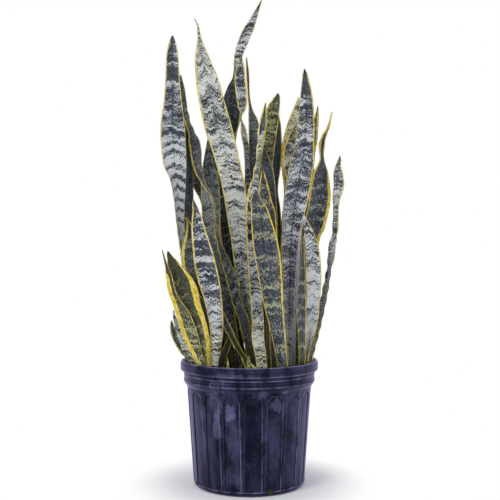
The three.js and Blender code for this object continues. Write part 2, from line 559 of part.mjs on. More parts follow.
// A flat-topped root stock laid under the feet of the named leaves
function rhizomeRun(names, clearance) {
  const level = LEAF_FOOT - SEAT_GAP - RHIZOME_HEIGHT / 2;
  const feet = names.map((name) => {
    const [, x, y] = LEAVES[name][0];
    const inward = Math.min(1, RHIZOME_REACH / Math.hypot(x, y));
    return new THREE.Vector3(x * inward, y * inward, level);
  });
  const path = new THREE.CatmullRomCurve3(feet, false, 'centripetal');
  const section = new THREE.Shape();
  for (let i = 0; i < RHIZOME_SIDES; i += 1) {
    const angle = ((2 * i + 1) * Math.PI) / RHIZOME_SIDES;
    const reach = 1 / Math.cos(Math.PI / RHIZOME_SIDES);
    const high = (RHIZOME_HEIGHT / 2 + clearance) * reach * Math.cos(angle);
    const wide = (RHIZOME_WIDTH / 2 + clearance) * reach * Math.sin(angle);
    if (i === 0) section.moveTo(high, wide);
    else section.lineTo(high, wide);
  }
  const options = { steps: names.length, extrudePath: path, bevelEnabled: false };
  return toSolid(new THREE.ExtrudeGeometry(section, options));
}

function rhizomeSolid(clearance) {
  return RHIZOME_RUNS.map((names) => rhizomeRun(names, clearance)).reduce((a, b) => a.add(b));
}

function makeRhizome() {
  const material = new THREE.MeshStandardMaterial({ color: 0xc08a4e, roughness: 0.7, metalness: 0 });
  addMesh('rhizome', fromSolid(rhizomeSolid(0)), material);
}

function makeSoil() {
  const wall = WALL + FIT;
  let soil = toSolid(turned([
    [0, FLOOR + FIT], [BODY_FOOT_RADIUS - wall - 4.2, FLOOR + FIT],
    [BODY_FOOT_RADIUS - wall, BODY_FOOT + 0.8],
    [BODY_TOP_RADIUS - wall, BODY_TOP - 2.6],
    [COLLAR_RADIUS - wall - 0.6, COLLAR_BOTTOM + 1.6],
    [COLLAR_RADIUS - wall - 0.6, SOIL_LEVEL],
    [BODY_FOOT_RADIUS / 2, SOIL_LEVEL + SOIL_CROWN / 2],
    [0, SOIL_LEVEL + SOIL_CROWN],
  ]));
  soil = soil.subtract(rhizomeSolid(FIT));
  for (const list of Object.values(LEAVES)) soil = soil.subtract(leafSlot(list));
  // The crumb that crossing slots cut free is dropped
  const [bed] = soil.decompose().sort((a, b) => b.volume() - a.volume());
  const material = new THREE.MeshStandardMaterial({ color: 0x3a2a1e, roughness: 0.95, metalness: 0 });
  addMesh('soil', fromSolid(bed), material);
}

makePot();
makeSoil();
makeRhizome();
for (const [name, list] of Object.entries(LEAVES)) makeLeaf(name, list);

export default group;
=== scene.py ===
"""Potted laurentii snake plant: the looks of its leaves, nursery pot and soil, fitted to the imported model."""
import logging
import math
from dataclasses import dataclass, field
from enum import Enum

import bmesh
import bpy
import numpy as np
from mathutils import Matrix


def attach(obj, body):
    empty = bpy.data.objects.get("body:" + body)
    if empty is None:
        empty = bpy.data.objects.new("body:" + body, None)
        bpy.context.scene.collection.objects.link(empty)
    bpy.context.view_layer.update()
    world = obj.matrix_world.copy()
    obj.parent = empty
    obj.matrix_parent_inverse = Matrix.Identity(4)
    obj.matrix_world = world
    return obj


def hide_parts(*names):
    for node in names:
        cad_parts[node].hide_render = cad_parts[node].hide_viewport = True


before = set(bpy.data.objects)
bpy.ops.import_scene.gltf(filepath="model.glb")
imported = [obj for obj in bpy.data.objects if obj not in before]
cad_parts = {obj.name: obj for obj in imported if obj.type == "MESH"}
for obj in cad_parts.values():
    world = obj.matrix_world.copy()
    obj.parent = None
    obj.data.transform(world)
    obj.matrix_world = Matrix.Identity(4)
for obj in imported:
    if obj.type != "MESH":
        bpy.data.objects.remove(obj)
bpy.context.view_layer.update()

LOG = logging.getLogger("snake_plant")

MM = 0.001
ROOT = "root"

# The picture's frame, and the camera that it was taken with, in metres
PICTURE_SIDE = 500
FOCAL_PIXELS = 848
SENSOR_WIDTH = 36.0
EYE = (0.0013, -1.573, 0.430)

# Pot, in millimetres, as in the part's source
BODY_TOP_RADIUS = 114.6
BODY_TOP = 181
BODY_FOOT_RADIUS = 102.6
BODY_FOOT = 6
FLOOR = 3
PANEL_COUNT = 18
PANEL_WIDTH = 28.5
PANEL_FOOT = 9
PANEL_TOP = 176
PANEL_RELIEF = 1.6
FIRST_PANEL_ANGLE = 3.8
DRAIN_COUNT = 4
DRAIN_WIDTH = 14
DRAIN_TOP = 13
FIRST_DRAIN_ANGLE = 21.6

# Soil
SOIL_LEVEL = 188
SOIL_CROWN = 2
SOIL_FIT = 0.4

# Leaf blade: its thickness in the middle at the foot and at the tip, at the margins, and where it ends
MIDDLE_FOOT = 5
MIDDLE_TIP = 1.6
MARGIN_THICKNESS = 1.1
TIP_THICKNESS = 0.8

# Half the channel's angle in degrees at the foot and opened, which it is at 1 / CHANNEL_OPENS of the height
CHANNEL_FOOT = 62
CHANNEL_TIP = 26
CHANNEL_OPENS = 1.6

# The margins' wave, the half width below which a blade thins, and the stretch where the yellow margins end
WAVE_HEIGHT = 1.1
WAVE_LENGTH = 92
SLIM_HALF = 6
TIP_FADE = 16

# How far apart the leaves' seeds are
SEED_STEP = 3.7

# Each leaf is a list of level slices from its foot to its tip, in millimetres:
# height, x, y, half width, and the turn of its hollow face from the front (0) towards +X (90).
LEAVES = {
    "leaf_left_tall": [
        [165, -89, 0, 9, 80], [230, -98, 0, 11, 78], [300, -109.5, -3.5, 14, 75],
        [400, -121.8, -5, 13.5, 72], [440, -127, -5, 13, 70], [486, -131.3, -5, 14, 66],
        [523, -132.7, -5, 17, 57], [560, -135, -5, 20, 46], [578, -138, -5, 21, 31],
        [597, -139, -5, 22, 14], [652, -141.5, -5, 22.5, 5], [708, -141, -6, 16.5, 0],
        [745, -141.5, -6, 13.2, 0], [782, -142, -7, 11.5, 0], [801, -142, -7, 9.3, 0],
        [819, -142, -7, 4.6, 0], [826, -142, -7, 0.8, 0],
    ],
    "leaf_left_twisted": [
        [165, 20, -12, 9, -35], [283, -2, -8, 13, -40], [338, -20, -3, 13.5, -45], [375, -28, 0, 15, -38],
        [412, -42, 2, 13, -50], [463, -59, 5, 10, -74], [523, -67, 8, 10, -78], [560, -86, 10, 11, -62],
        [588, -95, 12, 13.6, -45], [616, -98.5, 14, 13.8, -35], [638, -102.5, 14.5, 12.5, -42],
        [655, -108.5, 15, 9, -50], [674, -115, 15, 8, -50], [692, -121, 15, 9, -35],
        [709, -125, 15, 8.5, -20], [735, -128, 15, 6.5, 0], [758, -128.5, 15, 0.8, 0],
    ],
    "leaf_left_dark": [
        [165, -14, 14, 9, 0], [336, -44, 22, 14, 0], [430, -64, 29, 16, 5], [468, -71, 32, 17, 5],
        [524, -73, 35, 18, 5], [562, -74.5, 36, 17, 0], [600, -74, 36, 12.5, 0], [624, -77, 36, 5.5, 0],
        [640, -78.7, 36, 0.8, 0],
    ],
    "leaf_left_behind": [
        [165, -22, 40, 9, 0], [297, -43, 44, 12, 0], [373, -60, 48, 13, 0], [430, -69, 50, 13, 5],
        [478, -75, 52, 12, 10], [505, -79, 52, 11.5, 8], [527, -84, 52, 11, 5], [549, -95, 51, 12, 5],
        [582, -108, 50, 12, 0], [630, -118, 46, 9, 0], [680, -128, 42, 5, 0], [700, -131, 40, 0.8, 0],
    ],
    "leaf_pale_tall": [
        [165, 17, 6, 9, -10], [282, -1, 8, 11, -10], [337, -5.5, 8, 12, -8], [374, -11, 8, 14, -5],
        [430, -14.5, 7, 17, 0], [486, -21, 5, 19.5, 0], [541, -28, 3, 21.6, 0], [597, -41, 1, 22.8, 0],
        [653, -56.4, 0, 25.7, 0], [708, -70, -1, 23.6, 0], [745, -77.5, -2, 20.8, 0],
        [782, -86.3, -3, 14, 0], [819, -92, -3, 4.4, 0], [846, -95.5, -4, 1.5, 0], [858, -102, -4, 0.7, 0],
    ],
    "leaf_tallest": [
        [165, -18, 66, 9, 0], [340, -28, 68, 15, 0], [470, -40, 65, 15, 0], [600, -45, 57, 17, 0],
        [651, -41.2, 52, 17.3, 0], [679, -34.4, 49, 17.6, 0], [722, -33, 45, 16, 10], [759, -27, 40, 8, 45],
        [774, -27.5, 37, 7, 68], [795, -22.5, 34, 8.5, 35], [826, -10.5, 30, 10, 0], [845, -2, 28, 10, 0],
        [864, 7, 26, 6.6, 0], [882, 15, 25, 4, 0], [901, 23, 24, 0.7, 0],
    ],
    "leaf_lens": [
        [165, 2, 34, 8, 0], [340, 0, 34, 11, 0], [470, -2, 33, 11, 20], [562, -4.2, 31, 9, 52],
        [618, -7, 29, 8.8, 56], [641, -10, 28, 7.8, 48], [660, -12.2, 27, 5.8, 45], [679, -15.8, 26, 5, 80],
        [697, -14.6, 25, 8, 35], [712, -14, 24, 10.2, 5], [750, -17.5, 23, 10.4, 0], [773, -17, 22, 7.8, 0],
        [786, -15.8, 22, 3.5, 0], [797, -14.7, 22, 0.7, 0],
    ],
    "leaf_sharp": [
        [165, 18, 46, 9, 0], [340, 18, 46, 12, 0], [470, 17, 46, 14, 0], [554, 15.5, 46, 14, 0],
        [601, 12.7, 46, 14, 0], [639, 11.8, 45, 13, 0], [676, 7.5, 43, 9, 0], [691, 3.8, 42, 5.3, 0],
        [703, 1.6, 41, 3, 0], [725, -1.2, 40, 2.3, 20], [762, -3, 39, 2.8, 0], [782, -4.4, 38, 2, 0],
        [796, -5.3, 38, 0.7, 0],
    ],
    "leaf_centre_curved": [
        [165, 25, -54, 9, 0], [233, 21.5, -50, 10, 0], [268, 16, -48, 11.5, 0], [304, 15.3, -46, 11, 0],
        [340, 12.6, -43, 11, 0], [366, 12, -41, 12.7, 0], [439, 10.3, -36, 15.7, 0], [494, 9, -32, 16.3, 0],
        [525, 10.4, -30, 14.5, -10], [543, 11.3, -29, 12.5, -35], [567, 14, -28, 10, -55],
        [595, 17.7, -27, 9, -65], [622, 20.5, -26, 8, -52], [658, 24, -25, 6.6, -10],
        [682, 27.4, -24, 3.7, 0], [699, 29.6, -24, 0.7, 0],
    ],
    "leaf_mottled_green": [
        [165, 34, -8, 9, 0], [340, 32, -6, 12, 0], [470, 30, -5, 13, 0], [560, 30, -5, 13, 0],
        [591, 31.8, -5, 12, 0], [643, 38.9, -5, 11.5, 0], [671, 42.4, -5, 12, 0], [685, 43, -5, 12.5, 0],
        [697, 45.5, -5, 11, 0], [707, 49.4, -5, 7.5, 0], [714, 51.8, -5, 4.5, 0], [720, 53, -5, 0.8, 0],
    ],
    "leaf_centre_dark": [
        [165, 42, -24, 9, 0], [340, 40, -22, 12, 0], [470, 38, -20, 14, 0], [522, 35, -20, 14.5, 0],
        [558, 33.3, -19, 13.5, 0], [586, 31.5, -19, 10, 0], [604, 28.7, -18, 5.5, 0],
        [618, 27, -18, 0.8, 0],
    ],
    "leaf_centre_short": [
        [165, 50, -56, 9, 0], [340, 44, -54, 12, 0], [430, 38, -52, 14, 0], [484, 33, -50, 15.4, 0],
        [499, 32, -50, 15, 0], [520, 28.4, -49, 11.8, 0], [548, 26.2, -48, 7.7, 0],
        [568, 24.4, -47, 3.2, 0], [576, 23.9, -47, 0.8, 0],
    ],
    "leaf_front_centre": [
        [165, 62, -78, 9, 180], [222, 59, -80, 9, 180], [247, 56, -81, 10.1, 180],
        [289, 50, -82, 13.1, 180], [338, 42, -83, 17.5, 180], [377, 37.7, -84, 20.7, 180],
        [416, 32.8, -84, 22.7, 180], [448, 27.6, -84, 22, 180], [486, 20.6, -84, 17.6, 180],
        [504, 17, -84, 14, 180], [518, 12.3, -84, 9.9, 180], [528, 11.8, -84, 5, 180],
        [535, 11.8, -84, 0.8, 180],
    ],
    "leaf_dark_upright": [
        [165, 50, 28, 9, 0], [340, 50, 28, 12, 0], [488, 46, 27, 14, 0], [543, 40, 26, 14, 0],
        [590, 44.7, 26, 15, 0], [628, 46.6, 25, 14.5, 0], [662, 47.5, 24, 12.3, 0], [684, 48, 24, 8, 0],
        [705, 51, 23, 0.8, 0],
    ],
    "leaf_right_big": [
        [165, 74, -30, 9, 10], [303, 72, -30, 13, 10], [384, 74, -30, 15.2, 10], [434, 75, -30, 17.6, 5],
        [463, 77.4, -29, 18.4, 0], [494, 80.5, -28, 20.2, 0], [521, 85, -28, 22.2, 0],
        [562, 91.5, -27, 22.8, 0], [589, 96.2, -26, 21.9, 0], [607, 99, -26, 19.2, 0],
        [631, 102, -25, 16.7, 0], [658, 103.9, -25, 15, 0], [704, 104.4, -24, 11.9, 0],
        [740, 102.6, -24, 6.4, 0], [752, 101.8, -24, 4, 0], [761, 101, -24, 0.8, 0],
    ],
    "leaf_right_behind": [
        [165, 66, 10, 9, 0], [340, 66, 10, 12, 0], [470, 72, 10, 13, 0], [510, 76.5, 10, 13.8, 0],
        [535, 78.4, 10, 13.9, 0], [555, 77.7, 10, 14.2, 0], [572, 75.6, 10, 14.3, 0],
        [592, 73.8, 10, 14.6, 0], [608, 73.6, 10, 14.2, 0], [626, 74, 10, 13.5, 0],
        [660, 80.7, 10, 11.5, 0], [675, 84.4, 10, 9.8, 0], [691, 88, 10, 7, 0], [708, 91.3, 10, 2.8, 0],
        [716, 92, 10, 0.8, 0],
    ],
    "leaf_right_inner": [
        [165, 70, -10, 9, 0], [340, 72, -9, 11, 0], [470, 80, -8, 12, 0], [540, 82, -8, 12, 0],
        [563, 80.2, -8, 13.2, 0], [590, 74.8, -8, 14.2, 0], [609, 75, -8, 13, 0], [624, 76, -8, 10.2, 0],
        [638, 78.8, -8, 7.4, 0], [652, 83.4, -8, 4.6, 0], [665, 87, -8, 0.8, 0],
    ],
    "leaf_right_slim": [
        [165, 92, 36, 8, -60], [300, 98, 34, 9, -50], [470, 108, 28, 9, -20], [597, 115, 22, 7.5, 0],
        [633, 120.6, 21, 6.8, 0], [661, 123.4, 20, 6.2, 0], [682, 126.8, 20, 3.6, 0],
        [690, 127.8, 20, 2.4, 0], [700, 129, 20, 0.8, 0],
    ],
    "leaf_right_twisted": [
        [165, 94, 14, 9, 40], [300, 99, 12, 12, 30], [374, 105.5, 8, 13.5, 15], [447, 114.8, 5, 15.5, 0],
        [467, 121, 4, 17.7, 0], [490, 124.5, 3, 20.2, 0], [512, 129, 3, 20.3, 0], [532, 131.2, 3, 19.8, 0],
        [553, 132, 3, 17.3, 0], [570, 131.8, 3, 14.6, 8], [586, 133.2, 3, 10.8, 30], [600, 134, 3, 7.8, 50],
        [614, 133.6, 3, 6.4, 35], [629, 134.8, 3, 5.9, 20], [644, 139.6, 3, 4.6, 10], [659, 147, 3, 2.6, 0],
        [687, 153.8, 3, 0.7, 0],
    ],
    "leaf_right_front": [
        [165, 98, -20, 9, -50], [226, 103, -25, 9, -55], [249, 106, -28, 9.5, -45],
        [276, 110, -31, 11, -25], [303, 113.5, -34, 12.3, -10], [340, 115.5, -36, 12.5, 0],
        [372, 116.2, -37.5, 13.8, 0], [397, 115.9, -39, 13.8, 0], [421, 114.4, -40, 13.4, 0],
        [437, 112.6, -40, 12.5, 0], [459, 108.5, -41, 9.6, 0], [475, 103.8, -41, 6.2, 0],
        [490, 99, -41, 3, 0], [502, 97, -41, 0.8, 0],
    ],
    "leaf_right_banded": [
        [165, 88, -46, 8, 30], [229, 92, -50, 8, 45], [260, 92.6, -51, 9, 38], [295, 92, -52, 9.5, 30],
        [331, 92.4, -52, 9.3, 22], [358, 93, -52, 8.2, 20], [385, 94.2, -52, 6.5, 20],
        [416, 95.3, -52, 4.4, 20], [443, 95.8, -52, 2.6, 0], [460, 95, -52, 0.8, 0],
    ],
    "leaf_far_right": [
        [165, 101, -2, 8, -80], [200, 108, 0, 8, -74], [229, 115.5, 1, 8, -66], [281, 128, 3, 8, -58],
        [318, 135.5, 4, 8, -50], [356, 143, 5, 7.5, -50], [393, 149.5, 5, 7, -58], [421, 153.5, 5, 7, -30],
        [437, 154.2, 5, 7, -18], [455, 158.6, 5, 6.5, -45], [467, 160.7, 5, 6.5, -50],
        [504, 161.8, 5, 7, -42], [523, 162.8, 5, 7.5, -40], [535, 164.5, 5, 9, -20],
        [551, 166.5, 5, 9.8, 0], [570, 165.3, 5, 9, 0], [586, 165.3, 5, 5.4, 0], [597, 167.8, 5, 3.1, 0],
        [606, 168.7, 5, 0.8, 0],
    ],
    "leaf_left_front": [
        [165, -62, -42, 9, 200], [222, -61, -46, 9, 215], [265, -59, -49, 10.8, 190],
        [295, -59.2, -50, 12.6, 180], [337, -64.6, -52, 16, 180], [373, -72.5, -53, 19.5, 180],
        [401, -78.6, -54, 19.7, 180], [423, -82.7, -54, 18.2, 180], [448, -87.5, -55, 15.2, 180],
        [475, -92.2, -55, 11.5, 180], [498, -95, -55, 7, 180], [510, -98, -55, 4, 180],
        [520, -100.3, -55, 0.8, 180],
    ],
    "leaf_left_folded": [
        [165, -76, -55, 9, 180], [223, -79, -57, 9.4, 180], [270, -83.3, -60, 12.5, 180],
        [305, -93, -61, 15, 180], [334, -105, -62, 18, 180], [357, -112.5, -62, 21, 180],
        [378, -121, -62, 20, 180], [398, -131.4, -62, 13.8, 180], [412, -138, -62, 8.5, 180],
        [422, -143, -62, 4, 180], [428, -145, -62, 0.8, 180],
    ],
    "leaf_left_outer": [
        [165, -70, -72, 8.5, 180], [223, -82, -72, 8.5, 190], [236, -88.5, -72, 9, 185],
        [250, -94.5, -73, 10, 180], [266, -100, -74, 12.5, 180], [283, -105.6, -75, 14.1, 180],
        [303, -112.3, -76, 13.7, 180], [322, -119.4, -76, 12, 180], [340, -128.6, -76, 8.5, 180],
        [358, -136.7, -76, 6.8, 180], [388, -142.5, -76, 5.2, 180], [402, -146.4, -76, 2.6, 180],
        [416, -150, -76, 1.5, 180], [430, -153.6, -76, 0.7, 180],
    ],
    "leaf_low_left_dark": [
        [165, -101, -12, 8, 70], [225, -109.5, -10, 8.5, 45], [240, -118, -9, 8.5, 10],
        [256, -128.8, -8, 7.6, 0], [271, -137, -8, 6.5, 0], [288, -142, -8, 4.2, 0],
        [300, -143.6, -8, 0.8, 0],
    ],
    "leaf_low_left_silver": [
        [165, -90, -26, 8, 30], [223, -104, -24, 8, 10], [238, -111, -23, 8.5, 0], [256, -117, -22, 9, 0],
        [274, -123.5, -21, 8.5, 0], [293, -131.5, -20, 5.5, 0], [308, -137, -20, 2.6, 0],
        [320, -139, -20, 0.8, 0],
    ],
    "leaf_left_curled": [
        [165, 8, -33, 8, -20], [225, -3, -33, 8, -45], [250, -17.5, -33, 9, -50],
        [272, -28.5, -33, 10, -50], [294, -39.5, -33, 11, -45], [339, -70, -33, 14, -10],
        [375, -95, -32, 17, 5], [401, -103, -32, 18.5, 0], [433, -105, -32, 17, 0], [450, -105, -32, 13, 0],
        [464, -107, -32, 8, 0], [478, -110, -32, 4, 0], [487, -114, -32, 2, 0], [492, -120, -32, 0.8, 0],
    ],
    "leaf_shaded": [
        [165, -8, 51, 8, 0], [240, -18, 53, 9, 0], [290, -28, 54, 9, 0], [337, -33, 54, 9, 0],
        [385, -36, 55, 6, 0], [412, -37, 55, 0.8, 0],
    ],
    "leaf_crossing": [
        [165, -64, -18, 7, 0], [229, -50, -18, 7.5, 0], [250, -42, -18, 7, 0], [268, -35, -18, 4.5, 0],
        [281, -30.5, -18, 0.8, 0],
    ],
    "leaf_back_tall": [
        [165, 2, 88, 9, 0], [340, 6, 94, 16, 0], [480, 10, 100, 18, 0], [590, 13, 104, 13, 0],
        [635, 14, 106, 6, 0], [655, 14, 106, 0.8, 0],
    ],
    "leaf_back_left": [
        [165, -48, 62, 9, 25], [340, -54, 80, 15, 20], [470, -55, 84, 17, 15], [560, -55, 86, 13, 10],
        [600, -56, 87, 6, 10], [622, -56, 87, 0.8, 10],
    ],
    "leaf_back_outer_left": [
        [165, -74, 34, 9, 60], [300, -90, 34, 13, 40], [400, -105, 32, 12, 20], [470, -113.5, 31, 9.5, 5],
        [540, -114.5, 30, 9, 0], [600, -114.5, 30, 8.5, 0], [640, -116, 30, 6, 0], [672, -118, 30, 0.8, 0],
    ],
    "leaf_back_right": [
        [165, 34, 76, 9, -20], [340, 41, 84, 15, -20], [460, 46, 90, 14, -20], [540, 49, 94, 8, -20],
        [570, 50, 95, 0.8, -20],
    ],
    "leaf_back_outer_right": [
        [165, 66, 54, 9, -50], [330, 84, 60, 15, -40], [450, 92, 66, 15, -40], [530, 96, 70, 9, -40],
        [565, 98, 72, 0.8, -40],
    ],
    "leaf_back_low_left": [
        [165, -36, 86, 8, 20], [270, -44, 98, 11, 20], [340, -50, 106, 9, 20], [385, -54, 111, 0.8, 20],
    ],
    "leaf_back_low_right": [
        [165, 58, 78, 8, -30], [270, 68, 92, 11, -30], [350, 76, 101, 8, -30], [395, 80, 106, 0.8, -30],
    ],
    "shoot_left": [[165, -38, -62, 4, 0], [215, -38, -63, 3.2, 0], [238, -38.5, -64, 0.8, 0]],
    "shoot_middle": [[165, 0, -62, 4, 0], [225, -1, -62, 3.5, 0], [243, -1, -62, 0.8, 0]],
    "shoot_curl": [
        [165, 17, -72, 4, 0], [212, 14, -78, 3.8, 0], [224, 8, -79, 3, 0], [231, 2, -79, 0.8, 0],
    ],
}


class Finish(Enum):
    """The record's material slots that leaves take their finish from."""

    SILVER = "leaf_silver"
    PALE = "leaf_pale"
    GREEN = "leaf_green"
    DARK = "leaf_dark"
    SHOOT = "shoot"


Stops = tuple[tuple[float, float], ...]


def even(value: float) -> Stops:
    """Stops that give one value at every height."""
    return ((0.0, value),)


def feet(depth: float) -> Stops:
    """Stops that give a value at the leaf's foot, and fade it out above."""
    return (215.0, depth), (430.0, 0.0)


@dataclass(frozen=True)
class Dress:
    """How one leaf is marked.

    tone says how pale the leaf is at a height, from 0 for plain dark to 1 for plain pale. left and right are
    the widths of the yellow margins, in millimetres, as the camera sees them. chevron is how steeply the
    bands rise to the midrib, herring how strong the fine herringbone is, warmth how yellow-green the pale
    parts are, cream how pale the margins are, and spine how dark the midrib is. roll is the width of the
    smooth lavender band of painted highlight where the right margin is taken to roll over, gloom how much
    painted shade darkens the leaf in the clump's shade, and moss how yellow-green it is at its foot, where
    its pale parts are also painted lighter, as painted light against the shade there.
    """

    finish: Finish
    tone: Stops
    left: Stops = even(1.8)
    right: Stops = even(1.8)
    chevron: Stops = even(0.35)
    herring: Stops = even(1.0)
    warmth: float = 0.3
    cream: float = 0.4
    spine: float = 0.0
    roll: Stops = even(0.0)
    painted_shade: Stops = even(0.0)
    moss: Stops = ((215.0, 0.8), (310.0, 0.0))


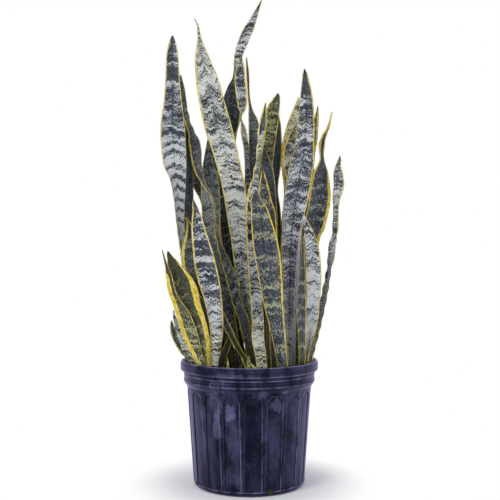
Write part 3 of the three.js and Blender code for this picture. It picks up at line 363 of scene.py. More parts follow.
DRESSES = {
    "leaf_left_tall": Dress(Finish.SILVER, (
        (200, 0.7), (420, 0.8), (428, 0.5), (433, 0.86), (444, 0.84), (447, 0.46), (451, 0.86), (462, 0.86),
        (465, 0.46), (469, 0.46), (472, 0.9), (483, 0.88), (486, 0.44), (490, 0.46), (493, 0.9), (502, 0.9),
        (505, 0.42), (510, 0.42), (513, 0.92), (521, 0.92), (524, 0.38), (529, 0.38), (532, 0.94),
        (541, 0.94), (544, 0.36), (550, 0.36), (553, 0.94), (562, 0.92), (564, 0.21), (571, 0.21),
        (573, 0.87), (582, 0.87), (584, 0.29), (590, 0.29), (593, 0.87), (607, 0.85), (609, 0.29),
        (618, 0.35), (620, 0.78), (627, 0.78), (629, 0.29), (631, 0.25), (634, 0.7), (646, 0.7),
        (649, 0.17), (656, 0.17), (658, 0.6), (666, 0.54), (676, 0.32), (700, 0.36), (722, 0.32),
        (730, 0.25), (736, 0.7), (744, 0.76), (746, 0.06), (768, 0.04), (771, 0.24), (774, 0.64),
        (778, 0.48), (781, 0.19), (791, 0.21), (794, 0.56), (797, 0.48), (800, 0.19), (812, 0.36),
        (820, 0.1),
    ), left=even(1.7), right=((560, 0.6), (640, 0.7), (700, 1.4)), chevron=even(0.45), warmth=0.1,
        spine=0.6),
    "leaf_left_twisted": Dress(Finish.DARK, (
        (200, 0.18), (328, 0.16), (335, 0.7), (342, 0.18), (352, 0.18), (358, 0.78), (366, 0.18),
        (374, 0.2), (381, 0.8), (389, 0.2), (397, 0.74), (404, 0.18), (411, 0.6), (418, 0.2), (470, 0.36),
        (482, 0.5), (494, 0.85), (528, 0.9), (542, 0.4), (580, 0.26), (640, 0.18), (670, 0.31), (700, 0.48),
        (730, 0.41), (750, 0.21),
    ), left=((300, 1.8), (460, 2.6), (500, 3.4), (600, 3.8), (660, 2.4)),
        right=((420, 2.4), (480, 1.6), (560, 0.8)), cream=0.0, chevron=((400, 1.1), (440, 0.5)),
        painted_shade=feet(0.2)),
    "leaf_left_dark": Dress(Finish.DARK, (
        (200, 0.3), (450, 0.56), (480, 0.68), (560, 0.66), (600, 0.5), (635, 0.3),
    ), left=even(1.0), right=((430, 2.2), (520, 2.0), (560, 0.9)), herring=even(0.6), cream=0.0, warmth=0.0,
        painted_shade=feet(0.5)),
    "leaf_left_behind": Dress(Finish.DARK, (
        (200, 0.16), (470, 0.51), (480, 0.66), (535, 0.66), (545, 0.26), (640, 0.2), (695, 0.16),
    ), left=even(1.2), right=((470, 1.0), (600, 1.6)), cream=0.1, painted_shade=feet(0.5)),
    "leaf_pale_tall": Dress(Finish.PALE, (
        (200, 0.6), (300, 0.7), (360, 0.6), (420, 0.5), (440, 0.7), (452, 0.5), (462, 0.82), (472, 0.8),
        (482, 0.45), (490, 0.55), (500, 0.86), (508, 0.84), (513, 0.35), (517, 0.82), (522, 0.4), (527, 0.9),
        (539, 0.92), (547, 0.42), (554, 0.45), (560, 0.74), (575, 0.8), (580, 0.45), (592, 0.4), (600, 0.84),
        (606, 0.82), (609, 0.38), (613, 0.9), (618, 0.86), (622, 0.5), (632, 0.45), (642, 0.82), (655, 0.7),
        (660, 0.36), (690, 0.34), (700, 0.6), (716, 0.55), (722, 0.38), (728, 0.58), (742, 0.7), (756, 0.84),
        (762, 0.6), (772, 0.85), (780, 0.62), (800, 0.66), (830, 0.6), (850, 0.4),
    ), left=((300, 1.5), (500, 2.2), (700, 2.6), (780, 2.4), (840, 1.0)),
        right=((300, 1.5), (500, 2.2), (700, 2.0), (780, 1.6), (840, 0.8)),
        chevron=((300, 0.25), (560, 0.3), (640, 0.55), (700, 1.1)), herring=even(1.1), warmth=0.12,
        cream=0.2, spine=0.45, painted_shade=feet(0.1)),
    "leaf_tallest": Dress(Finish.SILVER, (
        (200, 0.22), (600, 0.24), (700, 0.22), (745, 0.2), (765, 0.3), (790, 0.62), (815, 0.5), (835, 0.62),
        (850, 0.42), (870, 0.45), (892, 0.25),
    ), left=((700, 0.4), (780, 1.0)), right=((600, 3.0), (680, 2.6), (700, 1.0), (820, 1.0)),
        chevron=even(0.7), herring=even(1.2), warmth=0.15, cream=0.1, painted_shade=feet(0.7)),
    "leaf_lens": Dress(Finish.SILVER, (
        (200, 0.2), (620, 0.55), (676, 0.6), (690, 0.62), (712, 0.45), (735, 0.42), (752, 0.2), (757, 0.45),
        (763, 0.5), (768, 0.12), (776, 0.4), (790, 0.2),
    ), left=((600, 0.8), (690, 2.2), (770, 1.6)), right=((600, 0.8), (690, 2.6), (770, 1.8)),
        chevron=even(0.5), warmth=0.2, cream=0.2, painted_shade=feet(0.7)),
    "leaf_sharp": Dress(Finish.DARK, (
        (200, 0.22), (560, 0.27), (640, 0.32), (665, 0.48), (690, 0.42), (720, 0.22), (790, 0.22),
    ), left=((560, 1.4), (690, 1.2)), right=even(0.8), chevron=even(0.4), herring=even(0.6), cream=0.1,
        warmth=0.0, painted_shade=feet(0.7)),
    "leaf_centre_curved": Dress(Finish.SILVER, (
        (200, 0.66), (260, 0.62), (330, 0.6), (338, 0.88), (352, 0.9), (360, 0.62), (440, 0.6), (500, 0.45),
        (540, 0.5), (600, 0.45), (612, 0.62), (645, 0.6), (650, 0.12), (694, 0.06),
    ), left=((200, 2.0), (340, 2.2), (480, 3.6), (560, 3.0), (690, 2.0)), right=even(1.0),
        chevron=even(0.6), herring=even(1.3), warmth=0.3, cream=0.4),
    "leaf_mottled_green": Dress(Finish.GREEN, (
        (200, 0.06), (560, 0.08), (600, 0.26), (640, 0.37), (672, 0.42), (677, 0.29), (682, 0.49),
        (690, 0.48), (694, 0.22), (699, 0.42), (704, 0.2), (712, 0.05),
    ), left=even(2.0), right=even(1.0), warmth=0.9, cream=0.0, chevron=even(0.3), herring=even(1.7),
        painted_shade=feet(0.5)),
    "leaf_centre_dark": Dress(
        Finish.DARK, ((200, 0.1), (520, 0.14), (600, 0.22), (615, 0.1)), left=even(0.8), right=even(1.0),
        warmth=0.3, cream=0.0, painted_shade=feet(0.6)),
    "leaf_centre_short": Dress(Finish.DARK, (
        (200, 0.1), (500, 0.2), (513, 0.5), (518, 0.5), (524, 0.16), (538, 0.36), (546, 0.3), (552, 0.12),
        (575, 0.1),
    ), left=even(1.6), right=even(2.2), warmth=0.8, cream=0.0, painted_shade=feet(0.5)),
    "leaf_front_centre": Dress(Finish.DARK, (
        (200, 0.2), (226, 0.26), (240, 0.12), (246, 0.14), (251, 0.5), (264, 0.5), (270, 0.14), (277, 0.16),
        (282, 0.42), (288, 0.36), (294, 0.12), (301, 0.45), (308, 0.14), (314, 0.18), (319, 0.59),
        (322, 0.23), (328, 0.18), (330, 0.77), (338, 0.81), (340, 0.09), (345, 0.27), (348, 0.47),
        (352, 0.13), (361, 0.09), (363, 0.76), (369, 0.7), (371, 0.25), (380, 0.2), (390, 0.31),
        (402, 0.18), (409, 0.27), (412, 0.47), (420, 0.45), (423, 0.14), (446, 0.13), (450, 0.41),
        (461, 0.45), (464, 0.11), (482, 0.13), (485, 0.45), (494, 0.41), (497, 0.09), (504, 0.13),
        (507, 0.59), (511, 0.54), (514, 0.11), (530, 0.14),
    ), left=((200, 1.8), (480, 2.2), (530, 1.4)), right=((200, 2.4), (380, 3.6), (480, 2.8), (530, 1.4)),
        chevron=even(0.12), herring=((200, 0.3), (320, 0.6), (380, 1.0)), warmth=0.72, cream=0.0,
        moss=((215, 0.2), (290, 0.0))),
    "leaf_dark_upright": Dress(
        Finish.DARK, ((200, 0.03), (690, 0.06)), left=even(1.2), right=even(1.4), cream=0.0,
        herring=even(0.5), painted_shade=feet(0.85)),
    "leaf_right_big": Dress(Finish.SILVER, (
        (200, 0.7), (300, 0.66), (330, 0.5), (345, 0.58), (362, 0.47), (372, 0.31), (392, 0.43),
        (400, 0.34), (412, 0.53), (420, 0.54), (427, 0.31), (440, 0.29), (446, 0.47), (456, 0.6),
        (460, 0.34), (464, 0.63), (472, 0.58), (476, 0.31), (484, 0.49), (492, 0.53), (498, 0.34),
        (508, 0.49), (518, 0.39), (530, 0.24), (537, 0.55), (543, 0.6), (547, 0.2), (556, 0.31),
        (566, 0.44), (574, 0.3), (584, 0.49), (590, 0.46), (597, 0.25), (608, 0.3), (617, 0.47),
        (627, 0.25), (637, 0.49), (644, 0.31), (655, 0.39), (667, 0.38), (674, 0.2), (684, 0.39),
        (692, 0.16), (698, 0.23), (701, 0.67), (704, 0.44), (707, 0.15), (710, 0.57), (713, 0.52),
        (716, 0.12), (738, 0.09), (758, 0.09),
    ), left=even(0.9), right=((300, 0.8), (420, 0.6), (520, 1.6), (600, 2.2), (740, 1.8)),
        chevron=even(0.45), herring=((200, 0.3), (330, 0.4), (480, 0.6), (540, 0.85)), warmth=0.18,
        cream=0.05, spine=0.5, roll=((200, 7.0), (400, 7.0), (470, 5.0), (560, 2.5), (640, 0.0))),
    "leaf_right_behind": Dress(Finish.PALE, (
        (200, 0.4), (560, 0.6), (640, 0.7), (670, 0.82), (705, 0.7),
    ), left=((500, 2.5), (640, 4.0), (700, 2.5)), right=even(1.0), warmth=0.85, cream=0.2, painted_shade=feet(0.7)),
    "leaf_right_inner": Dress(Finish.PALE, (
        (200, 0.3), (560, 0.4), (600, 0.62), (620, 0.45), (655, 0.4),
    ), left=((500, 2.0), (600, 3.0), (650, 2.2)), right=even(1.2), warmth=0.75, cream=0.15,
        chevron=even(0.6), painted_shade=feet(0.6)),
    "leaf_right_slim": Dress(
        Finish.SILVER, ((200, 0.4), (560, 0.3), (660, 0.35), (690, 0.2)), left=even(0.8), right=even(3.0),
        warmth=0.5, cream=0.0),
    "leaf_right_twisted": Dress(Finish.DARK, (
        (200, 0.08), (440, 0.08), (466, 0.1), (469, 0.32), (474, 0.32), (477, 0.1), (484, 0.12),
        (487, 0.44), (494, 0.42), (497, 0.1), (504, 0.14), (507, 0.6), (516, 0.56), (519, 0.1), (523, 0.12),
        (525, 0.36), (531, 0.36), (534, 0.1), (543, 0.14), (546, 0.42), (553, 0.38), (556, 0.1),
        (562, 0.12), (564, 0.3), (568, 0.28), (571, 0.1), (600, 0.14), (680, 0.12),
    ), left=((480, 1.5), (570, 3.6), (600, 4.0), (640, 3.4)), right=((430, 5.5), (540, 5.0), (580, 1.5)),
        cream=0.0, warmth=0.25, chevron=even(0.2), painted_shade=feet(0.4)),
    "leaf_right_front": Dress(Finish.SILVER, (
        (200, 0.8), (240, 0.76), (262, 0.82), (276, 0.76), (290, 0.88), (300, 0.8), (312, 0.82),
        (320, 0.56), (330, 0.58), (338, 0.84), (366, 0.84), (374, 0.72), (382, 0.74), (388, 0.84),
        (404, 0.8), (412, 0.52), (440, 0.5), (480, 0.52), (500, 0.5),
    ), left=even(0.7), right=even(1.4), chevron=even(0.95),
        herring=((200, 1.2), (330, 1.0), (400, 1.0), (430, 1.5), (480, 1.6)), warmth=0.25, cream=0.1),
    "leaf_right_banded": Dress(Finish.DARK, (
        (200, 0.1), (254, 0.08), (258, 0.5), (263, 0.5), (267, 0.06), (284, 0.06), (287, 0.52), (292, 0.52),
        (296, 0.04), (303, 0.04), (306, 0.54), (311, 0.54), (315, 0.04), (322, 0.06), (325, 0.52),
        (331, 0.5), (335, 0.04), (344, 0.04), (347, 0.54), (352, 0.5), (356, 0.02), (366, 0.04),
        (370, 0.48), (375, 0.44), (379, 0.02), (394, 0.04), (398, 0.4), (404, 0.36), (409, 0.04),
        (455, 0.04),
    ), left=even(0.8), right=even(1.1), chevron=even(0.55), warmth=0.6, cream=0.0, painted_shade=even(0.18)),
    "leaf_far_right": Dress(Finish.SILVER, (
        (200, 0.9), (260, 0.85), (300, 0.6), (330, 0.55), (430, 0.5), (460, 0.5), (500, 0.66), (545, 0.68),
        (553, 0.25), (563, 0.25), (568, 0.6), (576, 0.4), (584, 0.62), (592, 0.42), (603, 0.3),
    ), left=even(0.6), right=even(1.4), chevron=even(0.5), warmth=0.4, cream=0.1,
        herring=((270, 1.4), (310, 0.3), (430, 0.3), (460, 1.4)),
        roll=((270, 0.0), (300, 8.0), (430, 9.0), (460, 0.0))),
    "leaf_left_front": Dress(Finish.SILVER, (
        (200, 0.72), (232, 0.7), (252, 0.66), (262, 0.74), (270, 0.58), (284, 0.74), (300, 0.5),
        (311, 0.71), (316, 0.68), (322, 0.42), (336, 0.5), (346, 0.27), (354, 0.23), (362, 0.6),
        (367, 0.56), (371, 0.17), (378, 0.28), (382, 0.64), (388, 0.51), (398, 0.36), (401, 0.09),
        (407, 0.08), (409, 0.81), (418, 0.88), (420, 0.47), (422, 0.05), (430, 0.09), (432, 0.71),
        (435, 0.68), (436.5, 0.09), (447, 0.06), (450, 0.79), (455, 0.7), (464, 0.43), (478, 0.53),
        (481, 0.15), (488, 0.28), (500, 0.34), (515, 0.15),
    ), left=((200, 1.6), (300, 2.6), (420, 3.6), (500, 2.6)),
        right=((200, 1.6), (300, 2.6), (460, 3.2), (510, 1.2)), chevron=even(0.08),
        herring=((200, 1.9), (330, 1.7), (360, 1.1)), warmth=0.22, cream=0.35),
    "leaf_left_folded": Dress(Finish.GREEN, (
        (200, 0.2), (240, 0.24), (262, 0.36), (275, 0.18), (296, 0.4), (306, 0.16), (320, 0.34),
        (330, 0.16), (350, 0.3), (362, 0.14), (380, 0.24), (400, 0.12), (425, 0.08),
    ), left=((200, 2.0), (300, 2.2), (420, 1.6)), right=((225, 6.0), (257, 8.0), (300, 9.0), (340, 11.0),
        (358, 12.0), (380, 8.0), (396, 4.0), (425, 1.4)), warmth=0.9, cream=0.0, chevron=even(0.6),
        herring=even(1.2)),
    "leaf_left_outer": Dress(Finish.GREEN, (
        (200, 0.2), (232, 0.18), (240, 0.46), (250, 0.16), (266, 0.52), (276, 0.22), (292, 0.58),
        (304, 0.26), (318, 0.56), (328, 0.24), (340, 0.4), (350, 0.16), (400, 0.12),
    ), left=((225, 7.0), (260, 9.0), (300, 8.5), (340, 8.0), (380, 5.5), (394, 1.6), (410, 0.5)),
        right=((230, 1.8), (390, 1.5), (405, 0.4)), warmth=0.9, cream=0.05, herring=even(0.6),
        chevron=even(0.2)),
    "leaf_low_left_dark": Dress(
        Finish.DARK, ((200, 0.12), (300, 0.2)), left=even(1.8), right=even(0.6), cream=0.1),
    "leaf_low_left_silver": Dress(
        Finish.SILVER, ((200, 0.56), (300, 0.6)), left=even(0.4), right=even(0.6), chevron=even(0.5),
        herring=even(2.2), warmth=0.2),
    "leaf_left_curled": Dress(Finish.DARK, (
        (200, 0.08), (330, 0.1), (370, 0.2), (390, 0.4), (405, 0.3), (420, 0.52), (430, 0.15), (438, 0.66),
        (448, 0.6), (452, 0.15), (485, 0.1),
    ), left=((200, 2.0), (350, 2.2), (400, 5.5), (450, 5.0), (480, 2.0)), right=((200, 2.0), (380, 1.6)),
        warmth=0.6, cream=0.15),
    "leaf_shaded": Dress(
        Finish.GREEN, ((200, 0.25), (330, 0.35), (400, 0.1)), warmth=1.0, cream=0.0, painted_shade=feet(0.65)),
    "leaf_crossing": Dress(
        Finish.DARK, ((200, 0.05), (280, 0.05)), left=even(1.6), right=even(1.6), cream=0.0,
        painted_shade=feet(0.35)),
    "leaf_back_tall": Dress(
        Finish.GREEN, ((200, 0.2), (450, 0.42), (640, 0.15)), warmth=0.5, painted_shade=feet(0.9)),
    "leaf_back_left": Dress(
        Finish.DARK, ((200, 0.15), (400, 0.35), (610, 0.15)), warmth=0.4, painted_shade=feet(0.9)),
    "leaf_back_outer_left": Dress(
        Finish.DARK, even(0.03), left=even(0.8), right=even(0.8), cream=0.0,
        painted_shade=((300, 0.5), (600, 0.35), (660, 0.1))),
    "leaf_back_right": Dress(
        Finish.GREEN, ((200, 0.25), (400, 0.45), (560, 0.12)), warmth=0.5, painted_shade=feet(0.9)),
    "leaf_back_outer_right": Dress(
        Finish.DARK, ((200, 0.2), (350, 0.45), (560, 0.15)), warmth=0.3, painted_shade=feet(0.5)),
    "leaf_back_low_left": Dress(
        Finish.GREEN, ((200, 0.3), (300, 0.5), (380, 0.15)), warmth=0.6, painted_shade=feet(0.85)),
    "leaf_back_low_right": Dress(
        Finish.DARK, ((200, 0.2), (300, 0.45), (390, 0.15)), warmth=0.4, painted_shade=feet(0.85)),
    "shoot_left": Dress(
        Finish.SHOOT, ((200, 0.6), (240, 0.5)), left=even(0.8), right=even(0.8), warmth=0.9),
    "shoot_middle": Dress(
        Finish.SHOOT, ((200, 0.6), (240, 0.4)), left=even(0.8), right=even(0.8), warmth=0.9),
    "shoot_curl": Dress(
        Finish.SHOOT, ((200, 0.6), (230, 0.8)), left=even(3.0), right=even(3.0), warmth=1.0, cream=0.2),
}


@dataclass(frozen=True)
class Signal:
    """A number, colour or vector that runs through a material, as the socket that gives it."""

    recipe: "Recipe"
    socket: bpy.types.NodeSocket

    def maths(self, operation: str, *others: "Signal | float") -> "Signal":
        """Adds one Math node.

        Args:
            operation: the node's operation.
            others: what follows this number in the node's inputs.

        Returns:
            The node's result.
        """
        return self.recipe.node("ShaderNodeMath", {"operation": operation}, dict(enumerate((self, *others))))

    def __add__(self, other: "Signal | float") -> "Signal":
        """Adds a number."""
        return self.maths("ADD", other)

    def __radd__(self, other: float) -> "Signal":
        """Adds to a number."""
        return self.maths("ADD", other)

    def __sub__(self, other: "Signal | float") -> "Signal":
        """Takes a number away."""
        return self.maths("SUBTRACT", other)

    def __rsub__(self, other: float) -> "Signal":
        """Takes this away from a number."""
        return self.recipe.node("ShaderNodeMath", {"operation": "SUBTRACT"}, {0: other, 1: self})

    def __mul__(self, other: "Signal | float") -> "Signal":
        """Multiplies by a number."""
        return self.maths("MULTIPLY", other)

    def size(self) -> "Signal":
        """Drops the sign."""
        return self.maths("ABSOLUTE")

    def least(self, other: "Signal | float") -> "Signal":
        """Takes the smaller of two numbers."""
        return self.maths("MINIMUM", other)

    def most(self, other: "Signal | float") -> "Signal":
        """Takes the larger of two numbers."""
        return self.maths("MAXIMUM", other)

    def step(self, low: "Signal | float", high: "Signal | float") -> "Signal":
        """Rises smoothly from 0 at low to 1 at high."""
        inputs = {"Value": self, "From Min": low, "From Max": high, "To Min": 0.0, "To Max": 1.0}
        return self.recipe.node("ShaderNodeMapRange", {"interpolation_type": "SMOOTHSTEP"}, inputs)

    def parts(self) -> "tuple[Signal, Signal, Signal]":
        """Splits a vector into its three numbers."""
        first = self.recipe.node("ShaderNodeSeparateXYZ", {}, {0: self})
        outputs = first.socket.node.outputs
        return first, Signal(self.recipe, outputs[1]), Signal(self.recipe, outputs[2])


Value = Signal | float
Colour = tuple[float, float, float]


def linear(red: float, green: float, blue: float) -> Colour:
    """Turns a colour of 0 to 255 a channel, as a picture stores it, into the light that it stands for."""
    shares = (channel / 255 for channel in (red, green, blue))
    return tuple(share / 12.92 if share <= 0.04045 else ((share + 0.055) / 1.055) ** 2.4 for share in shares)


@dataclass
class Recipe:
    """The nodes of a material, or of the room's light, written as expressions."""

    owner: bpy.types.Material | bpy.types.World

    def __post_init__(self) -> None:
        """Starts without nodes."""
        self.owner.use_nodes = True
        self.owner.node_tree.nodes.clear()

    @classmethod
    def named(cls, name: str) -> "Recipe":
        """Starts a new material."""
        return cls(bpy.data.materials.new(name))

    def node(self, kind: str, settings: dict, inputs: dict, output: int | str = 0) -> Signal:
        """Adds one node of any type.

        Args:
            kind: the node's type.
            settings: the node's own settings, set before its inputs.
            inputs: the values or links of its sockets, by name or number.
            output: the socket that is wanted from it.

        Returns:
            That output.
        """
        made = self.owner.node_tree.nodes.new(kind)
        for name, value in settings.items():
            setattr(made, name, value)
        for key, value in inputs.items():
            socket = made.inputs[key]
            if isinstance(value, Signal):
                self.owner.node_tree.links.new(value.socket, socket)
            elif socket.type == "RGBA":
                socket.default_value = (*value, 1.0)
            else:
                socket.default_value = value
        return Signal(self, made.outputs[output])

    def attribute(self, name: str) -> Signal:
        """Reads a vector that the piece's mesh keeps at its points."""
        return self.node("ShaderNodeAttribute", {"attribute_name": name}, {}, "Vector")

    def place(self) -> Signal:
        """Reads the place on the piece, in metres."""
        return self.node("ShaderNodeTexCoord", {}, {}, "Object")

    def vector(self, x: Value, y: Value, z: Value) -> Signal:
        """Joins three numbers to a vector."""
        return self.node("ShaderNodeCombineXYZ", {}, {0: x, 1: y, 2: z})

    def scaled(self, vector: Signal, by: tuple[float, float, float]) -> Signal:
        """Scales each number of a vector."""
        return self.node("ShaderNodeVectorMath", {"operation": "MULTIPLY"}, {0: vector, 1: by})

    def noise(self, vector: Signal, scale: float, detail: float = 2.0, rough: float = 0.55) -> Signal:
        """Gives a cloudy noise of 0 to 1 about one half.

        Args:
            vector: where it is read.
            scale: how many clouds there are to one unit of the vector.
            detail: how many finer layers it has.
            rough: how strong the finer layers are.

        Returns:
            The noise.
        """
        inputs = {"Vector": vector, "Scale": scale, "Detail": detail, "Roughness": rough}
        return self.node("ShaderNodeTexNoise", {"noise_dimensions": "3D"}, inputs, "Fac")

    def mix(self, factor: Value, first: "Signal | Colour", second: "Signal | Colour") -> Signal:
        """Mixes two colours.

        Args:
            factor: 0 for the first, 1 for the second.
            first: the colour that is mixed into.
            second: the colour that is mixed in.

        Returns:
            The colour.
        """
        settings = {"data_type": "RGBA", "clamp_factor": True}
        return self.node("ShaderNodeMix", settings, {0: factor, 6: first, 7: second}, 2)

    def bump(self, height: Signal, depth: float, strength: float = 1.0) -> Signal:
        """Turns a height into a normal, with the depth of one unit of it in metres."""
        inputs = {"Height": height, "Distance": depth, "Strength": strength}
        return self.node("ShaderNodeBump", {}, inputs, "Normal")

    def surface(self, inputs: dict) -> bpy.types.Material:
        """Ends the material with a Principled surface.

        Args:
            inputs: the values or links of the surface's sockets.

        Returns:
            The finished material.
        """
        shader = self.node("ShaderNodeBsdfPrincipled", {}, inputs, "BSDF")
        return self.end(shader)

    def end(self, shader: Signal) -> bpy.types.Material | bpy.types.World:
        """Ends the nodes with a shader.

        Args:
            shader: what is shown.

        Returns:
            What the nodes belong to.
        """
        kind = "World" if isinstance(self.owner, bpy.types.World) else "Material"
        ending = self.owner.node_tree.nodes.new(f"ShaderNodeOutput{kind}")
        self.owner.node_tree.links.new(shader.socket, ending.inputs["Surface"])
        return self.owner


@dataclass
class Skin:
    """Points and faces that are gathered into one mesh.

    Points are in millimetres. A grid's faces join neighbours along its two directions.
    """

    points: list[np.ndarray] = field(default_factory=list)
    quads: list[np.ndarray] = field(default_factory=list)
    triangles: list[np.ndarray] = field(default_factory=list)
    count: int = 0

    def grid(self, points: np.ndarray) -> np.ndarray:
        """Adds a grid of points whose last column joins its first.

        Its faces look out when rows go up and columns go anticlockwise from above.

        Args:
            points: the places, as rows by columns by 3.

        Returns:
            The number of each point, as rows by columns.
        """
        rows, columns = points.shape[:2]
        numbers = self.count + np.arange(rows * columns).reshape(rows, columns)
        self.points.append(points.reshape(-1, 3))
        self.count += rows * columns
        woven = np.hstack([numbers, numbers[:, :1]])
        low, high = woven[:-1], woven[1:]
        self.quads.append(np.stack([low[:, :-1], low[:, 1:], high[:, 1:], high[:, :-1]], -1).reshape(-1, 4))
        return numbers

    def fan(self, ring: np.ndarray, middle: np.ndarray, up: bool) -> None:
        """Closes a ring of points with triangles to its middle.

        Args:
            ring: the numbers of the ring's points, anticlockwise from above.
            middle: the place of the middle.
            up: whether the faces look up.
        """
        centre = np.full(len(ring), self.count)
        self.points.append(middle.reshape(1, 3))
        self.count += 1
        pair = (ring, np.roll(ring, -1)) if up else (np.roll(ring, -1), ring)
        self.triangles.append(np.stack([*pair, centre], -1))

    def piece(self, name: str, smooth: bool = True) -> bpy.types.Object:
        """Makes the object, with its place in its mesh.

        Args:
            name: the piece's name.
            smooth: whether its faces are shaded as one curved surface.

        Returns:
            The object.
        """
        places = np.concatenate(self.points) * MM
        groups = [group for group in (self.quads, self.triangles) if group]
        corners = [np.concatenate(group) for group in groups]
        sizes = np.concatenate([np.full(len(faces), faces.shape[1]) for faces in corners])
        loops = np.concatenate([faces.ravel() for faces in corners])
        mesh = bpy.data.meshes.new(name)
        mesh.vertices.add(len(places))
        mesh.vertices.foreach_set("co", places.astype(np.float32).ravel())
        mesh.loops.add(len(loops))
        mesh.loops.foreach_set("vertex_index", loops.astype(np.int32))
        mesh.polygons.add(len(sizes))
        starts = np.concatenate([[0], np.cumsum(sizes)[:-1]])
        mesh.polygons.foreach_set("loop_start", starts.astype(np.int32))
        mesh.update(calc_edges=True)
        mesh.validate()
        mesh.polygons.foreach_set("use_smooth", np.full(len(sizes), smooth))
        made = bpy.data.objects.new(name, mesh)
        bpy.context.scene.collection.objects.link(made)
        return made


def keep_points(piece: bpy.types.Object, name: str, values: np.ndarray) -> None:
    """Keeps a vector at each point of a piece, for its material to read.

    Args:
        piece: the piece.
        name: the attribute's name.
        values: the vectors, in the order of the piece's points.
    """
    made = piece.data.attributes.new(name, "FLOAT_VECTOR", "POINT")
    made.data.foreach_set("vector", values.reshape(-1, 3).astype(np.float32).ravel())


def rise(values: np.ndarray, low: float, high: float) -> np.ndarray:
    """Rises smoothly from 0 at low to 1 at high, as 3t² - 2t³ of the share t of the way."""
    share = np.clip((values - low) / (high - low), 0, 1)
    return share * share * (3 - 2 * share)


def follow(stops: Stops, places: np.ndarray) -> np.ndarray:
    """Reads stops at places, straight from one stop to the next."""
    heights, values = np.array(stops).T
    return np.interp(places, heights, values)


def between(before: np.ndarray, start: np.ndarray, end: np.ndarray, after: np.ndarray,
            share: np.ndarray) -> np.ndarray:
    """Follows a Catmull-Rom curve between the middle two of four values.

    The curve is start + t/2 (end - before + t (2 before - 5 start + 4 end - after + t (3 (start - end) +
    after - before))), where t is the share.

    Args:
        before: the values ahead of the stretch.
        start: the values where the stretch starts.
        end: the values where the stretch ends.
        after: the values past the stretch.
        share: how far along the stretch, 0 to 1.

    Returns:
        The values there.
    """
    square = 2 * before - 5 * start + 4 * end - after
    cube = 3 * (start - end) + after - before
    return start + 0.5 * share * (end - before + share * (square + share * cube))


def distances(rows: np.ndarray) -> np.ndarray:
    """Adds up the way from the first row to each, where a row starts with its place."""
    strides = np.linalg.norm(np.diff(rows[:, :3], axis=0), axis=1)
    return np.concatenate([[0], np.cumsum(strides)])


